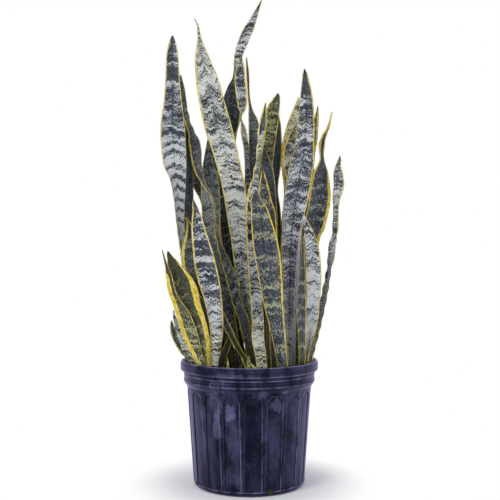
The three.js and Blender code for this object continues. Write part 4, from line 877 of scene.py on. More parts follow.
@dataclass
class Blade:
    """One leaf: a channelled blade that stands for its node of the frame.

    The blade is swept through level slices. Each slice is an arc of a circle, thick in the middle and thin at
    the margins, and the arc opens from the foot to the tip. Rows of points are row_gap apart along it, and
    tip_gap apart over its last tip_length. The midrib is creased, and the margins flutter in short waves.
    """

    node: str
    slices: list[list[float]]
    dress: Dress
    seed: float
    fine_steps: int = 60
    row_gap: float = 3.2
    tip_length: float = 10
    tip_gap: float = 0.9
    columns: int = 17
    crease: float = 0.7
    crease_half: float = 2.2
    flutter: float = 0.35
    flutter_length: float = 23.0
    margin_share: float = 0.35
    band_sway: float = 1.3

    def rows(self) -> np.ndarray:
        """Works out the slices that the blade is swept through.

        Returns:
            Rows of height, x, y, half width and turn, evenly spaced along the blade and closer at its tip.
        """
        listed = np.array(self.slices, float)
        padded = np.vstack([listed[:1], listed, listed[-1:]])
        along = np.linspace(0, len(listed) - 1, self.fine_steps * len(listed))
        span = np.minimum(along.astype(int), len(listed) - 2)
        share = (along - span)[:, None]
        fine = between(*(padded[span + offset] for offset in range(4)), share)
        travelled = distances(fine)
        length = travelled[-1]
        plain = length - self.tip_length
        body = np.linspace(0, plain, int(round(length / self.row_gap)), endpoint=False)
        tip = plain + np.arange(0, self.tip_length, self.tip_gap)
        wanted = np.concatenate([body, tip, [length]])
        return np.stack([np.interp(wanted, travelled, fine[:, axis]) for axis in range(5)], 1)

    def section(self, rows: np.ndarray) -> tuple[np.ndarray, np.ndarray, np.ndarray]:
        """Lays the blade's two faces across its rows.

        A point at u of -1 to 1 across swings by u times the channel's angle round a circle of radius half
        width / sin(channel). It is lifted by the circle, by a wave along the blade of u³ at its margins, by a
        finer flutter and by a crease at the midrib, and the faces stand off it by half the thickness.

        Args:
            rows: the slices.

        Returns:
            The points as rows by columns by 3, the distance of each column from the midrib along the skin,
            and u for each column.
        """
        height, x, y, half, turn = (rows[:, axis, None] for axis in range(5))
        low, high = self.slices[0][0], self.slices[-1][0]
        climb = (height - low) / (high - low)
        opened = np.minimum(1, CHANNEL_OPENS * climb)
        channel = np.radians(CHANNEL_FOOT + (CHANNEL_TIP - CHANNEL_FOOT) * opened)
        bend = half / np.sin(channel)
        slim = np.clip(half / SLIM_HALF, 0, 1)
        u = np.sin(math.pi / 2 * np.linspace(-1, 1, self.columns))
        u = np.concatenate([u, u[::-1]])[None]
        front = np.repeat([1, -1], self.columns)[None]
        swing = u * channel
        across = bend * np.sin(swing)
        wave = WAVE_HEIGHT * slim * np.sin(2 * math.pi * height / WAVE_LENGTH + x)
        phase = 2 * math.pi * height / self.flutter_length + self.seed * 5 + 2 * u
        ripple = self.flutter * slim * np.sin(phase)
        crease = self.crease * slim * np.exp(-((u * half / self.crease_half) ** 2))
        lift = bend * (1 - np.cos(swing)) + wave * u**3 + ripple * np.abs(u) ** 3 - crease
        middle = MIDDLE_FOOT + (MIDDLE_TIP - MIDDLE_FOOT) * climb
        body = middle + (MARGIN_THICKNESS - middle) * u**2
        rounded = self.margin_share + (1 - self.margin_share) * np.sqrt(1 - np.abs(u) ** 10)
        deep = front * rounded * (TIP_THICKNESS + (body - TIP_THICKNESS) * slim) / 2
        sideways = across - deep * np.sin(swing)
        forwards = lift + deep * np.cos(swing)
        turned = np.radians(turn)
        places = np.stack([
            x + np.cos(turned) * sideways + np.sin(turned) * forwards,
            y + np.sin(turned) * sideways - np.cos(turned) * forwards,
            np.broadcast_to(height, sideways.shape),
        ], -1)
        return places, bend * swing, u

    def build(self) -> bpy.types.Object:
        """Makes the blade's mesh, with what its material reads at each point.

        Returns:
            The blade.
        """
        rows = self.rows()
        places, reach, u = self.section(rows)
        skin = Skin()
        numbers = skin.grid(places)
        for row, down in ((numbers[0], True), (numbers[-1], False)):
            near, far = row[:self.columns], row[self.columns:][::-1]
            cap = [near[:-1], far[:-1], far[1:], near[1:]]
            skin.quads.append(np.stack(cap if down else [cap[0], *cap[:0:-1]], -1))
        blade = skin.piece(f"{self.node}_blade")
        self.mark(blade, rows, reach, u)
        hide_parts(self.node)
        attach(blade, ROOT)
        return blade

    @staticmethod
    def firm(tone: np.ndarray) -> np.ndarray:
        """Draws middling tones together and spreads the others, by 0.3 x + 0.4 x³ from the middle."""
        off = 2 * tone - 1
        return 0.445 + 0.3 * off + 0.4 * off**3

    def mark(self, blade: bpy.types.Object, rows: np.ndarray, reach: np.ndarray, u: np.ndarray) -> None:
        """Keeps on the blade where each point is on its skin, and how it is marked there.

        Args:
            blade: the blade.
            rows: the slices.
            reach: the distance of each point from the midrib along the skin.
            u: the share of the half width, -1 to 1, of each column.
        """
        height = rows[:, 0, None]
        half = rows[:, 3, None]
        travelled = distances(rows)[:, None]
        seen_left = -1 if np.cos(np.radians(rows[:, 4])).mean() > 0 else 1
        chord = np.abs(reach) / np.maximum(np.abs(reach).max(1, keepdims=True), 0.01)
        inwards = half * (1 - chord)
        outwards = half * (1 + chord)
        on_left = np.sign(u) == seen_left
        from_left = np.where(on_left, inwards, outwards)
        from_right = np.where(on_left, outwards, inwards)
        sway = self.band_sway * (np.sin(reach * 0.55 + self.seed * 3 + height * 0.031)
                                 + 0.6 * np.sin(reach * 1.3 - self.seed + height * 0.09))
        dress = self.dress
        chevron = follow(dress.chevron, height)
        read = height + chevron * np.abs(reach) + sway
        left, right, herring, roll, painted_shade, moss = (follow(stops, height) for stops in (
            dress.left, dress.right, dress.herring, dress.roll, dress.painted_shade, dress.moss))
        ending = np.clip((travelled[-1] - travelled) / TIP_FADE + 0.1, 0, 1)
        # trim holds the margins' cream, the midrib's darkness and the painted shade; fold holds the painted
        # highlight's width and the moss, with its painted light.
        kept = {
            "skin": (reach, travelled, self.seed),
            "edges": (from_left, from_right, half),
            "look": (self.firm(follow(dress.tone, read)), left * ending, right * ending),
            "style": (chevron, herring, dress.warmth),
            "trim_and_shade": (dress.cream, dress.spine, painted_shade),
            "highlight_and_moss": (roll, moss, 0.0),
        }
        for name, values in kept.items():
            keep_points(blade, name, np.stack([np.broadcast_to(value, reach.shape) for value in values], -1))


@dataclass(frozen=True)
class LeafFinish:
    """The skin of one kind of leaf: dark ground, pale bands with feathered rims, and yellow margins."""

    slot: Finish
    dark: Colour
    deep: Colour
    pale: Colour
    warm: Colour
    lilac: Colour = linear(128, 126, 150)
    # Colour of the painted highlight where the right margin is taken to roll over.
    roll_highlight: Colour = linear(186, 184, 216)
    gold: Colour = linear(218, 192, 56)
    ivory: Colour = linear(238, 230, 178)
    ochre: Colour = linear(164, 136, 26)
    olive: Colour = linear(104, 104, 40)
    # The colour of the painted shade.
    shade: Colour = linear(16, 18, 15)
    moss_dark: Colour = linear(74, 80, 34)
    # Yellow-green pale of the foot, made near-white as painted light against the shade there.
    moss_pale_and_painted_light: Colour = linear(246, 246, 212)
    roughness: float = 0.4
    line_rate: float = 0.36
    tooth_depth: float = 11.0
    notch_depth: float = 7.0
    drift_depth: float = 14.0
    chevron_share: float = 0.62
    band_edge: float = 0.13
    margin_edge: float = 0.35
    speckle: float = 1.3
    thread: float = 2.3
    fibre_depth: float = 0.0005

    def build(self) -> bpy.types.Material:
        """Makes the skin's material.

        The pale share of a place is its tone, moved by three noises: broad bands, long thin lines and a fine
        grain. Bands and lines follow the way along the blade, with chevrons that rise from the midrib, turn
        back near the margins, and have teeth, notches and drift that they share. Lines are strong where the
        tone is neither dark nor plain pale. Over the bands lie patches of lilac, the lavender roll, which is a
        painted highlight along the right margin, and the margins, gold with streaks of ivory and patches of
        ochre, and olive at their rims. Moss turns the skin yellow-green and, as painted light against the shade
        at the foot, paints its pale parts lighter there, and gloom darkens all of it as painted shade.

        Returns:
            The material.
        """
        recipe = Recipe.named(f"{self.slot.value}_skin")
        across, along, seed = recipe.attribute("skin").parts()
        tone, left_width, right_width = recipe.attribute("look").parts()
        chevron, herring, warmth = recipe.attribute("style").parts()
        cream, spine, painted_shade = recipe.attribute("trim_and_shade").parts()
        left, right, half = recipe.attribute("edges").parts()
        roll, moss, _ = recipe.attribute("highlight_and_moss").parts()

        def noise(wide: float, long: float, shift: float, detail: float = 2.0, rough: float = 0.55,
                  way: Signal = along) -> Signal:
            """Gives a noise about 0, with so many clouds to a millimetre across and along the blade."""
            where = recipe.vector(across * wide, way * long, seed + shift)
            return recipe.noise(where, 1.0, detail, rough) - 0.5

        steep = across.size() - (across.size() - half * self.chevron_share).most(0.0) * 1.7
        teeth = noise(0.22, 0.03, 0, 1.0) * self.tooth_depth
        notches = noise(0.6, 0.07, 5, 1.0) * self.notch_depth
        drift = noise(0.03, 0.04, 3, 1.0) * self.drift_depth
        risen = along + chevron * steep + teeth + notches + drift
        bands = noise(0.02, 0.09, 7, way=risen)
        lines = noise(0.035, self.line_rate, 13, 2.0, 0.6, way=risen)
        grain = noise(0.8, 0.3, 29)
        midrib = spine * (1 - across.size().step(0.4, 2.6))
        drawn = herring * (tone.step(0.08, 0.42) * 0.85 + 0.15) * (1 - tone.step(0.6, 0.95) * 0.5)
        fine = lines * drawn * self.thread + grain * self.speckle
        paleness = tone - 0.5 + bands * 0.7 + fine - midrib * 0.3
        share = paleness.step(-self.band_edge, self.band_edge)

        patches = noise(0.06, 0.045, 41)
        tint = noise(0.16, 0.11, 47) + 0.5
        ground = recipe.mix(patches * 1.6 + 0.5 + fine.most(-0.35) * 0.9 + grain, self.deep, self.dark)
        ground = recipe.mix(moss * (tint.step(0.35, 0.6) * 0.6 + 0.4), ground, self.moss_dark)
        light = recipe.mix(warmth + patches * 1.2, self.pale, self.warm)
        # Partly painted light: at the foot the pale parts turn yellow-green, and lighter than the leaf is,
        # against the shade there.
        light = recipe.mix(moss * 0.9, light, self.moss_pale_and_painted_light)
        skin = recipe.mix(share * 0.9 + fine * 0.25, ground, light)
        skin = recipe.mix(tint.step(0.52, 0.72) * 0.4 * (1 - moss), skin, self.lilac)

        jag = noise(0.1, 0.2, 53)
        streak = noise(0.5, 0.1, 67)
        # Painted highlight: a smooth lavender band along the right margin, as where it rolls over and catches
        # the light.
        skin = recipe.mix((roll - right - 0.8).step(-0.8, 0.8) * (0.75 + streak * 2), skin, self.roll_highlight)
        reaches = (width + jag * width.least(2.5) * 1.6 - distance
                   for distance, width in ((left, left_width), (right, right_width)))
        near_left, near_right = (reach.step(-self.margin_edge, self.margin_edge) for reach in reaches)
        yellow = recipe.mix(cream + streak * 3.6, self.gold, self.ivory)
        yellow = recipe.mix(tint.step(0.45, 0.62) * 0.6, yellow, self.ochre)
        rimmed = recipe.mix(left.least(right).step(0.1, 0.5), self.olive, yellow)
        # Painted shade: darkens the skin and margins towards the shade colour where the clump would shade the
        # leaf.
        colour = recipe.mix(painted_shade, recipe.mix(near_left.most(near_right), skin, rimmed), self.shade)

        return recipe.surface({
            "Base Color": colour,
            "Roughness": self.roughness + lines * 0.25 + share * 0.06,
            "Normal": recipe.bump(noise(1.9, 0.05, 71) + grain * 0.3, self.fibre_depth, 0.35),
            "Specular IOR Level": 0.25,
        })


LEAF_FINISHES = (
    LeafFinish(Finish.SILVER, dark=linear(66, 73, 85), deep=linear(29, 33, 41),
               pale=linear(199, 203, 209), warm=linear(194, 199, 172)),
    LeafFinish(Finish.PALE, dark=linear(67, 74, 81), deep=linear(33, 38, 43),
               pale=linear(207, 209, 206), warm=linear(205, 206, 172)),
    LeafFinish(Finish.GREEN, dark=linear(68, 72, 58), deep=linear(34, 38, 30),
               pale=linear(152, 154, 116), warm=linear(158, 156, 104), lilac=linear(88, 92, 66), speckle=1.8),
    LeafFinish(Finish.DARK, dark=linear(64, 71, 82), deep=linear(25, 30, 36),
               pale=linear(156, 161, 160), warm=linear(154, 157, 114), speckle=2.2, thread=1.5),
    LeafFinish(Finish.SHOOT, dark=linear(110, 120, 48), deep=linear(70, 82, 32),
               pale=linear(180, 180, 84), warm=linear(196, 188, 84), lilac=linear(150, 150, 70)),
)


def body_radius(height: np.ndarray) -> np.ndarray:
    """Gives the radius of the pot's outer wall, a cone from its foot to the top of its body."""
    share = (np.clip(height, BODY_FOOT, BODY_TOP) - BODY_FOOT) / (BODY_TOP - BODY_FOOT)
    return BODY_FOOT_RADIUS + (BODY_TOP_RADIUS - BODY_FOOT_RADIUS) * share


def round_corners(corners: list[tuple[float, float, float]], arc_steps: int = 4) -> np.ndarray:
    """Rounds the corners of a profile.

    Each corner gives way to a curve (1-t)² a + 2t(1-t) corner + t² b, where a and b are the places on
    either side at the corner's reach.

    Args:
        corners: radius, height and reach of each corner, in order.
        arc_steps: how many steps round a corner.

    Returns:
        The profile's points, radius and height.
    """
    spots = np.array([corner[:2] for corner in corners], float)
    made = [spots[:1]]
    share = np.linspace(0, 1, arc_steps + 1)[:, None]
    for before, corner, after, (_, _, reach) in zip(spots, spots[1:], spots[2:], corners[1:-1]):
        into, out_of = before - corner, after - corner
        start = corner + into * min(0.45, reach / np.linalg.norm(into))
        end = corner + out_of * min(0.45, reach / np.linalg.norm(out_of))
        made.append((1 - share) ** 2 * start + 2 * share * (1 - share) * corner + share**2 * end)
    made.append(spots[-1:])
    return np.vstack(made)


@dataclass
class NurseryPot:
    """The moulded nursery pot: a tapered body with arched panels, a collar with a bead, and a rolled lip."""

    node: str = "pot"
    columns_half: int = 14
    coarse_gap: float = 9.0
    fine_gap: float = 1.0
    long_stretch: float = 50
    edge_softness: float = 0.75
    crown: float = 0.35
    cutter_reach: tuple[float, float] = (85.0, 115.0)
    corners: tuple[tuple[float, float, float], ...] = (
        (0, 0, 0), (96, 0, 2.5), (100.4, 1.6, 1.5), (102.6, 6, 1.5), (114.6, 181, 1.5), (119.7, 188, 2),
        (121.4, 192, 1.4), (120.2, 195, 1.0), (120.5, 202.2, 0.5), (121.2, 203.4, 0.7), (120.7, 204.8, 0.5),
        (120.8, 209, 0.7), (126, 210, 1.2), (127, 213, 1.2), (127, 223, 2.2), (124.6, 228, 1.8),
        (120.3, 226.8, 1.2), (119.5, 222, 2), (117.5, 206, 3), (117.2, 186, 2), (111.4, 178, 2),
        (99.4, 6.5, 2), (95.4, 3, 1.5), (0, 3, 0),
    )

    def profile(self) -> np.ndarray:
        """Works out the profile's points, close together where the panels' arches and feet are.

        Returns:
            Radius and height of each point, from the middle of the underside round to that of the floor.
        """
        outline = round_corners(list(self.corners))
        made = [outline[:1]]
        for start, end in zip(outline, outline[1:]):
            outer = start[0] > BODY_FOOT_RADIUS - 0.5 and end[0] > start[0] and end[1] < BODY_TOP + 1
            if outer and end[1] - start[1] > self.long_stretch:
                low = np.arange(start[1], PANEL_FOOT + 5, self.fine_gap)
                top = np.arange(PANEL_TOP - PANEL_WIDTH / 2 - 8, end[1], self.fine_gap)
                middle = np.linspace(low[-1], top[0], int((top[0] - low[-1]) / self.coarse_gap))[1:-1]
                heights = np.concatenate([low[1:], middle, top, end[1:]])
                share = (heights - start[1]) / (end[1] - start[1])
            else:
                count = max(1, int(np.linalg.norm(end - start) / self.coarse_gap))
                share = np.arange(1, count + 1) / count
            made.append(start + (end - start) * share[:, None])
        return np.vstack(made)

    def spacing(self, height: np.ndarray) -> np.ndarray:
        """Places the columns between the middle of a panel and the middle of the rib beside it.

        Args:
            height: the heights of the rows, as rows by 1.

        Returns:
            Distances from the panel's middle along the wall, as rows by columns.
        """
        edge = PANEL_WIDTH / 2
        pitch = math.pi * body_radius(height) / PANEL_COUNT
        about = [edge - 2.4, edge - 1.2, edge - 0.5, edge, edge + 0.6, edge + 1.3]
        steps = np.array([0, 3.2, 6.4, 9.6, *about])
        rest = self.columns_half - len(steps) + 1
        outside = steps[-1] + (pitch - steps[-1]) * np.arange(1, rest + 1) / rest
        return np.hstack([np.broadcast_to(steps, (len(height), len(steps))), outside])

    def build(self) -> bpy.types.Object:
        """Makes the pot.

        The profile turns about the upright axis. On the outer wall it steps in by the panels' relief where
        the distance inside an arch, min(half width - distance from its middle line, height above its foot),
        is above 0, and the panels' floors are crowned a little.

        Returns:
            The pot.
        """
        profile = self.profile()
        radius, height = profile[1:-1, 0, None], profile[1:-1, 1, None]
        side = self.spacing(height)
        one_panel = np.hstack([-side[:, :0:-1], side[:, :-1]])
        turn = one_panel / body_radius(height)
        panels = np.arange(PANEL_COUNT) * 2 * math.pi / PANEL_COUNT + math.radians(FIRST_PANEL_ANGLE)
        angle = (panels[None, :, None] + turn[:, None, :]).reshape(len(height), -1)
        aside = np.tile(one_panel, (1, PANEL_COUNT))
        centre = PANEL_TOP - PANEL_WIDTH / 2
        away = np.where(height > centre, np.hypot(aside, height - centre), np.abs(aside))
        inside = np.minimum(PANEL_WIDTH / 2 - away, height - PANEL_FOOT)
        outer = (radius > body_radius(height) - 0.4) & (height < BODY_TOP - 0.5) & (height > BODY_FOOT - 0.1)
        sunk = rise(inside, -self.edge_softness, self.edge_softness)
        crown = self.crown * np.clip(1 - (away / (PANEL_WIDTH / 2)) ** 2, 0, 1)
        radius = radius - np.where(outer, PANEL_RELIEF * sunk - crown * sunk, 0)
        places = np.stack([radius * np.sin(angle), -radius * np.cos(angle),
                           np.broadcast_to(height, angle.shape)], -1)
        skin = Skin()
        numbers = skin.grid(places)
        skin.fan(numbers[0], np.array([0.0, 0.0, profile[0, 1]]), up=False)
        skin.fan(numbers[-1], np.array([0.0, 0.0, profile[-1, 1]]), up=True)
        pot = skin.piece("nursery_pot")
        self.cut_drains(pot)
        pot.data.materials.append(PotFinish().build())
        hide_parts(self.node)
        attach(pot, ROOT)
        return pot

    def cut_drains(self, pot: bpy.types.Object) -> None:
        """Cuts the drain holes, arches that stand on the pot's floor and go through its wall.

        Args:
            pot: the pot, whose mesh is changed.
        """
        half = DRAIN_WIDTH / 2
        spring = DRAIN_TOP - half
        bend = np.linspace(0, math.pi, 17)
        outline = np.vstack([
            np.stack([half * np.cos(bend), spring + half * np.sin(bend)], 1),
            [[-half, FLOOR + 0.2], [half, FLOOR + 0.2]],
        ])
        skin = Skin()
        for number in range(DRAIN_COUNT):
            angle = math.radians(FIRST_DRAIN_ANGLE + 360 / DRAIN_COUNT * number)
            outwards = np.array([math.sin(angle), -math.cos(angle), 0])
            sideways = np.array([math.cos(angle), math.sin(angle), 0])
            bar = np.stack([outwards * reach + outline[:, :1] * sideways + outline[:, 1:] * [0, 0, 1]
                            for reach in self.cutter_reach])
            ring = skin.grid(bar)
            skin.fan(ring[0], bar[0].mean(0), up=False)
            skin.fan(ring[1], bar[1].mean(0), up=True)
        cutter = skin.piece("drain_cutter", smooth=False)
        recalculate(cutter)
        cut = pot.modifiers.new("drains", "BOOLEAN")
        cut.operation = "DIFFERENCE"
        cut.solver = "EXACT"
        cut.object = cutter
        settle(pot)
        bpy.data.objects.remove(cutter)


def recalculate(piece: bpy.types.Object) -> None:
    """Turns the faces of a closed mesh outwards."""
    work = bmesh.new()
    work.from_mesh(piece.data)
    bmesh.ops.recalc_face_normals(work, faces=work.faces)
    work.to_mesh(piece.data)
    work.free()


def settle(piece: bpy.types.Object) -> None:
    """Applies a piece's modifiers to its mesh."""
    graph = bpy.context.evaluated_depsgraph_get()
    finished = bpy.data.meshes.new_from_object(piece.evaluated_get(graph))
    piece.modifiers.clear()
    piece.data = finished


@dataclass(frozen=True)
class StainOrPaintedLight:
    """A cloudy patch on the pot's wall, its turn from the front and its height: most are lime that water left
    behind, one is a painted highlight and one is painted shade.
    """

    turn: float
    height: float
    half_turn: float
    half_height: float
    strength: float


@dataclass(frozen=True)
class PotFinish:
    """Old navy-black nursery plastic, with lavender lime stains, painted shade in its grooves and painted
    highlights on its raised rings.

    ridges and creases are rings round the pot, painted highlights and painted shade: their heights and how
    strongly they show. Each stain is an oval with a crisp rim that a ragged noise moves in and out, a shade
    paler towards its middle; the small bright one at 33 degrees and 182 millimetres is a painted highlight,
    and one with a strength below 0 is painted shade, a dark patch. Seams are the turns of the mould's lines
    from the front.
    """

    dark: Colour = linear(16, 17, 29)
    middle: Colour = linear(37, 37, 60)
    lime: Colour = linear(104, 102, 138)
    dust: Colour = linear(88, 85, 116)
    # Colour of the painted highlights.
    painted_highlight: Colour = linear(132, 130, 166)
    # Colour of the painted shade in the grooves and sunken rings.
    groove_shade: Colour = linear(5, 5, 11)
    sheen: Colour = linear(168, 162, 226)
    seams: tuple[float, ...] = (-27.8, -5.7, 152.2, 174.3)
    raggedness: float = 3.6
    # Heights and strengths of painted highlights on the lip, the collar, the bead and the foot.
    ridge_highlights: Stops = ((226.8, 0.9), (211.3, 0.8), (203.6, 1.2), (192.0, 1.0), (8.0, 0.7))
    # Heights and strengths of painted shade in the sunken rings under the lip and round the collar.
    crease_shades: Stops = ((217.4, 0.8), (209.3, 1.0), (200.6, 0.6), (196.0, 0.7), (187.2, 0.9))
    stains: tuple[StainOrPaintedLight, ...] = (
        StainOrPaintedLight(-17, 213, 15, 6, 0.4), StainOrPaintedLight(-27, 200, 6, 9, 0.5), StainOrPaintedLight(-29, 186, 6, 7, 0.35),
        StainOrPaintedLight(-32, 160, 8, 22, 0.35), StainOrPaintedLight(-31, 119, 4.5, 20, 0.6), StainOrPaintedLight(-30, 142, 3, 8, 0.35),
        StainOrPaintedLight(-17, 150, 6, 13, 0.65), StainOrPaintedLight(-15, 104, 8, 34, 0.2), StainOrPaintedLight(26, 160, 5, 13, 0.42),
        # The small bright patch at 33 degrees and 182 mm is a painted highlight, a glint.
        StainOrPaintedLight(23, 92, 9, 44, 0.12), StainOrPaintedLight(13, 180, 4.5, 6, 0.3), StainOrPaintedLight(33, 182, 3, 2.2, 0.8),
        StainOrPaintedLight(45, 140, 8, 30, 0.12), StainOrPaintedLight(-48, 139, 5, 18, 0.35), StainOrPaintedLight(-18, 30, 9, 16, 0.25),
        StainOrPaintedLight(-58, 110, 12, 60, 0.2), StainOrPaintedLight(56, 100, 10, 70, 0.2), StainOrPaintedLight(0, 60, 5, 18, 0.15),
        # The patch at 2 degrees and 112 mm, with a strength below 0, is painted shade down the front of the
        # pot.
        StainOrPaintedLight(2, 112, 7, 70, -0.55), StainOrPaintedLight(150, 150, 24, 44, 0.45), StainOrPaintedLight(215, 80, 20, 40, 0.4),
    )

    def build(self) -> bpy.types.Material:
        """Makes the plastic's material.

        Returns:
            The material.
        """
        recipe = Recipe.named("nursery_plastic")
        place = recipe.place()
        x, y, z = recipe.scaled(place, (1000.0, 1000.0, 1000.0)).parts()
        turn = x.maths("ARCTAN2", y * -1) * math.degrees(1)
        cloudy = recipe.noise(recipe.scaled(place, (42.0, 42.0, 16.0)), 1.0, 4.0, 0.62)
        ragged = recipe.noise(recipe.scaled(place, (80.0, 80.0, 55.0)), 1.0, 4.0, 0.65) - 0.5
        speckle = recipe.noise(place, 420.0, 2.0)
        inside, arc = self.depth_in_panel(turn, z)
        lined = 1 - z.step(PANEL_TOP + 1, PANEL_TOP + 3)
        # The right-hand side of each panel, where the light falls so that the painted highlight is stronger and
        # the painted shade weaker.
        right = arc.step(-2.0, 2.0)
        arched = z.step(PANEL_TOP - PANEL_WIDTH * 0.6, PANEL_TOP - PANEL_WIDTH * 0.3)
        # Painted shade: dark outlines in the panels' grooves, weaker on each panel's right side below the arch.
        groove_shade = (1 - (inside - 0.2).size().step(0.3, 1.6)) * lined * (1 - right * 0.6 * (1 - arched))
        # Painted highlights: a light line along the ribs' edges, stronger on each panel's right side, and the
        # rings of painted highlight, all broken into patches.
        highlight_patches = cloudy.step(0.36, 0.6)
        rib_highlight = (1 - (inside + 0.9).size().step(0.2, 1.1)) * lined * (right * 0.75 + 0.2) * (1 - arched * 0.75)
        highlight_lines = self.rings(z, self.ridge_highlights) + rib_highlight
        # Stains, with a painted highlight and painted shade among them.
        wet = self.lime_and_painted_light(turn, z, ragged)
        marks = cloudy.step(0.4, 0.75) * 0.22 + wet * (0.75 + speckle.step(0.35, 0.7) * 0.5)
        runs = recipe.noise(recipe.vector(turn * 0.55, z * 0.018, 3.0), 1.0, 3.0)
        marks = marks + runs.step(0.5, 0.85) * 0.2
        # Patches below 0 are painted shade that darkens the base colour.
        base = recipe.mix(cloudy.step(0.3, 0.7) + wet.least(0.0), self.dark, self.middle)
        limed = recipe.mix(marks.least(0.95) * (0.8 + ragged * 0.8), base, self.lime)
        dusty = recipe.mix(speckle.step(0.64, 0.74) * 0.3, limed, self.dust)
        # Painted shade in the grooves and the sunken rings.
        dark = recipe.mix((groove_shade + self.rings(z, self.crease_shades)).least(1.0) * 0.8, dusty, self.groove_shade)
        # Painted highlights laid over the colour.
        colour = recipe.mix((highlight_lines * (highlight_patches * 0.6 + 0.08)).least(0.7), dark, self.painted_highlight)
        seam = 0.0
        for angle in self.seams:
            seam = (1 - (turn - angle).size().step(0.12, 0.4)) + seam
        sunk = inside.step(-0.8, 0.8) * lined
        relief = speckle * 0.1 + cloudy * 0.15 + seam * 0.3 - sunk * 1.2 - groove_shade * 0.4
        return recipe.surface({
            "Base Color": colour,
            "Roughness": 0.4 + marks * 0.3 + (cloudy - 0.5) * 0.3,
            "Specular IOR Level": 0.2,
            "Specular Tint": self.sheen,
            "IOR": 1.3,
            "Sheen Weight": 1.0,
            "Sheen Roughness": 0.35,
            "Sheen Tint": self.sheen,
            "Normal": recipe.bump(relief, MM, 0.7),
        })

    def lime_and_painted_light(self, turn: Signal, z: Signal, ragged: Signal) -> Signal:
        """Adds up the stains, with the painted highlight and the painted shade among them.

        Args:
            turn: degrees from the front.
            z: millimetres above the ground.
            ragged: the noise that moves their rims.

        Returns:
            How much lime lies on a place, with the painted highlight, and below 0 where painted shade makes it
            darker than the rest.
        """
        wet = 0.0
        for stain in self.stains:
            aside = (turn - stain.turn) * (1 / stain.half_turn)
            above = (z - stain.height) * (1 / stain.half_height)
            reach = 1 + ragged * self.raggedness - (aside * aside + above * above).maths("SQRT")
            wet = (reach.step(-0.03, 0.09) * 0.65 + reach.step(0.0, 0.7) * 0.35) * stain.strength + wet
        return wet

    @staticmethod
    def rings(z: Signal, heights: Stops) -> Signal:
        """Draws thin level rings, at their strengths: the painted highlights on the raised rings of the lip and
        collar, and the painted shade in the sunken ones.

        Args:
            z: millimetres above the ground.
            heights: the height and the strength of each ring.

        Returns:
            Their strength at a place, 0 between them.
        """
        drawn = 0.0
        for height, strength in heights:
            drawn = (1 - (z - height).size().step(0.2, 1.1)) * strength + drawn
        return drawn

    def depth_in_panel(self, turn: Signal, z: Signal) -> tuple[Signal, Signal]:
        """Gives how far inside a panel's outline a place is, and how far from its middle line.

        The first is the smaller of the half width less the distance from the panel's middle line, or from the
        middle of its arch above that, and the height above its foot.

        Args:
            turn: degrees from the front.
            z: millimetres above the ground.

        Returns:
            Millimetres inside, below 0 outside, and millimetres to the right of the middle line.
        """
        pitch = 360 / PANEL_COUNT
        aside = ((turn - FIRST_PANEL_ANGLE) * (1 / pitch) + 0.5).maths("FRACT") - 0.5
        lean = (BODY_TOP_RADIUS - BODY_FOOT_RADIUS) / (BODY_TOP - BODY_FOOT)
        radius = (z - BODY_FOOT) * lean + BODY_FOOT_RADIUS
        arc = aside * radius * math.radians(pitch)
        above = (z - (PANEL_TOP - PANEL_WIDTH / 2)).most(0.0)
        away = (arc * arc + above * above).maths("SQRT")
        return (PANEL_WIDTH / 2 - away).least(z - PANEL_FOOT), arc


def clouds(places: np.ndarray, size: float, seed: int) -> np.ndarray:
    """Gives a smooth random height at flat places.

    Random numbers stand on a square lattice, and a place reads the four about it, weighted by 3t² - 2t³ of
    its share of the way between them.

    Args:
        places: x and y, as any shape by 2.
        size: the lattice's spacing.
        seed: which random numbers.

    Returns:
        Heights of -1 to 1.
    """
    side = 256
    lattice = np.random.default_rng(seed).uniform(-1, 1, (side, side))
    spot = places / size
    low = np.floor(spot).astype(int)
    share = rise(spot - low, 0, 1)
    x0, y0 = low[..., 0] % side, low[..., 1] % side
    x1, y1 = (x0 + 1) % side, (y0 + 1) % side
    near = lattice[x0, y0] * (1 - share[..., 0]) + lattice[x1, y0] * share[..., 0]
    far = lattice[x0, y1] * (1 - share[..., 0]) + lattice[x1, y1] * share[..., 0]
    return near * (1 - share[..., 1]) + far * share[..., 1]


def swung(first: np.ndarray, second: np.ndarray, angle: np.ndarray) -> tuple[np.ndarray, np.ndarray]:
    """Turns places by an angle in the plane of two of their numbers."""
    return (first * np.cos(angle) - second * np.sin(angle),
            first * np.sin(angle) + second * np.cos(angle))


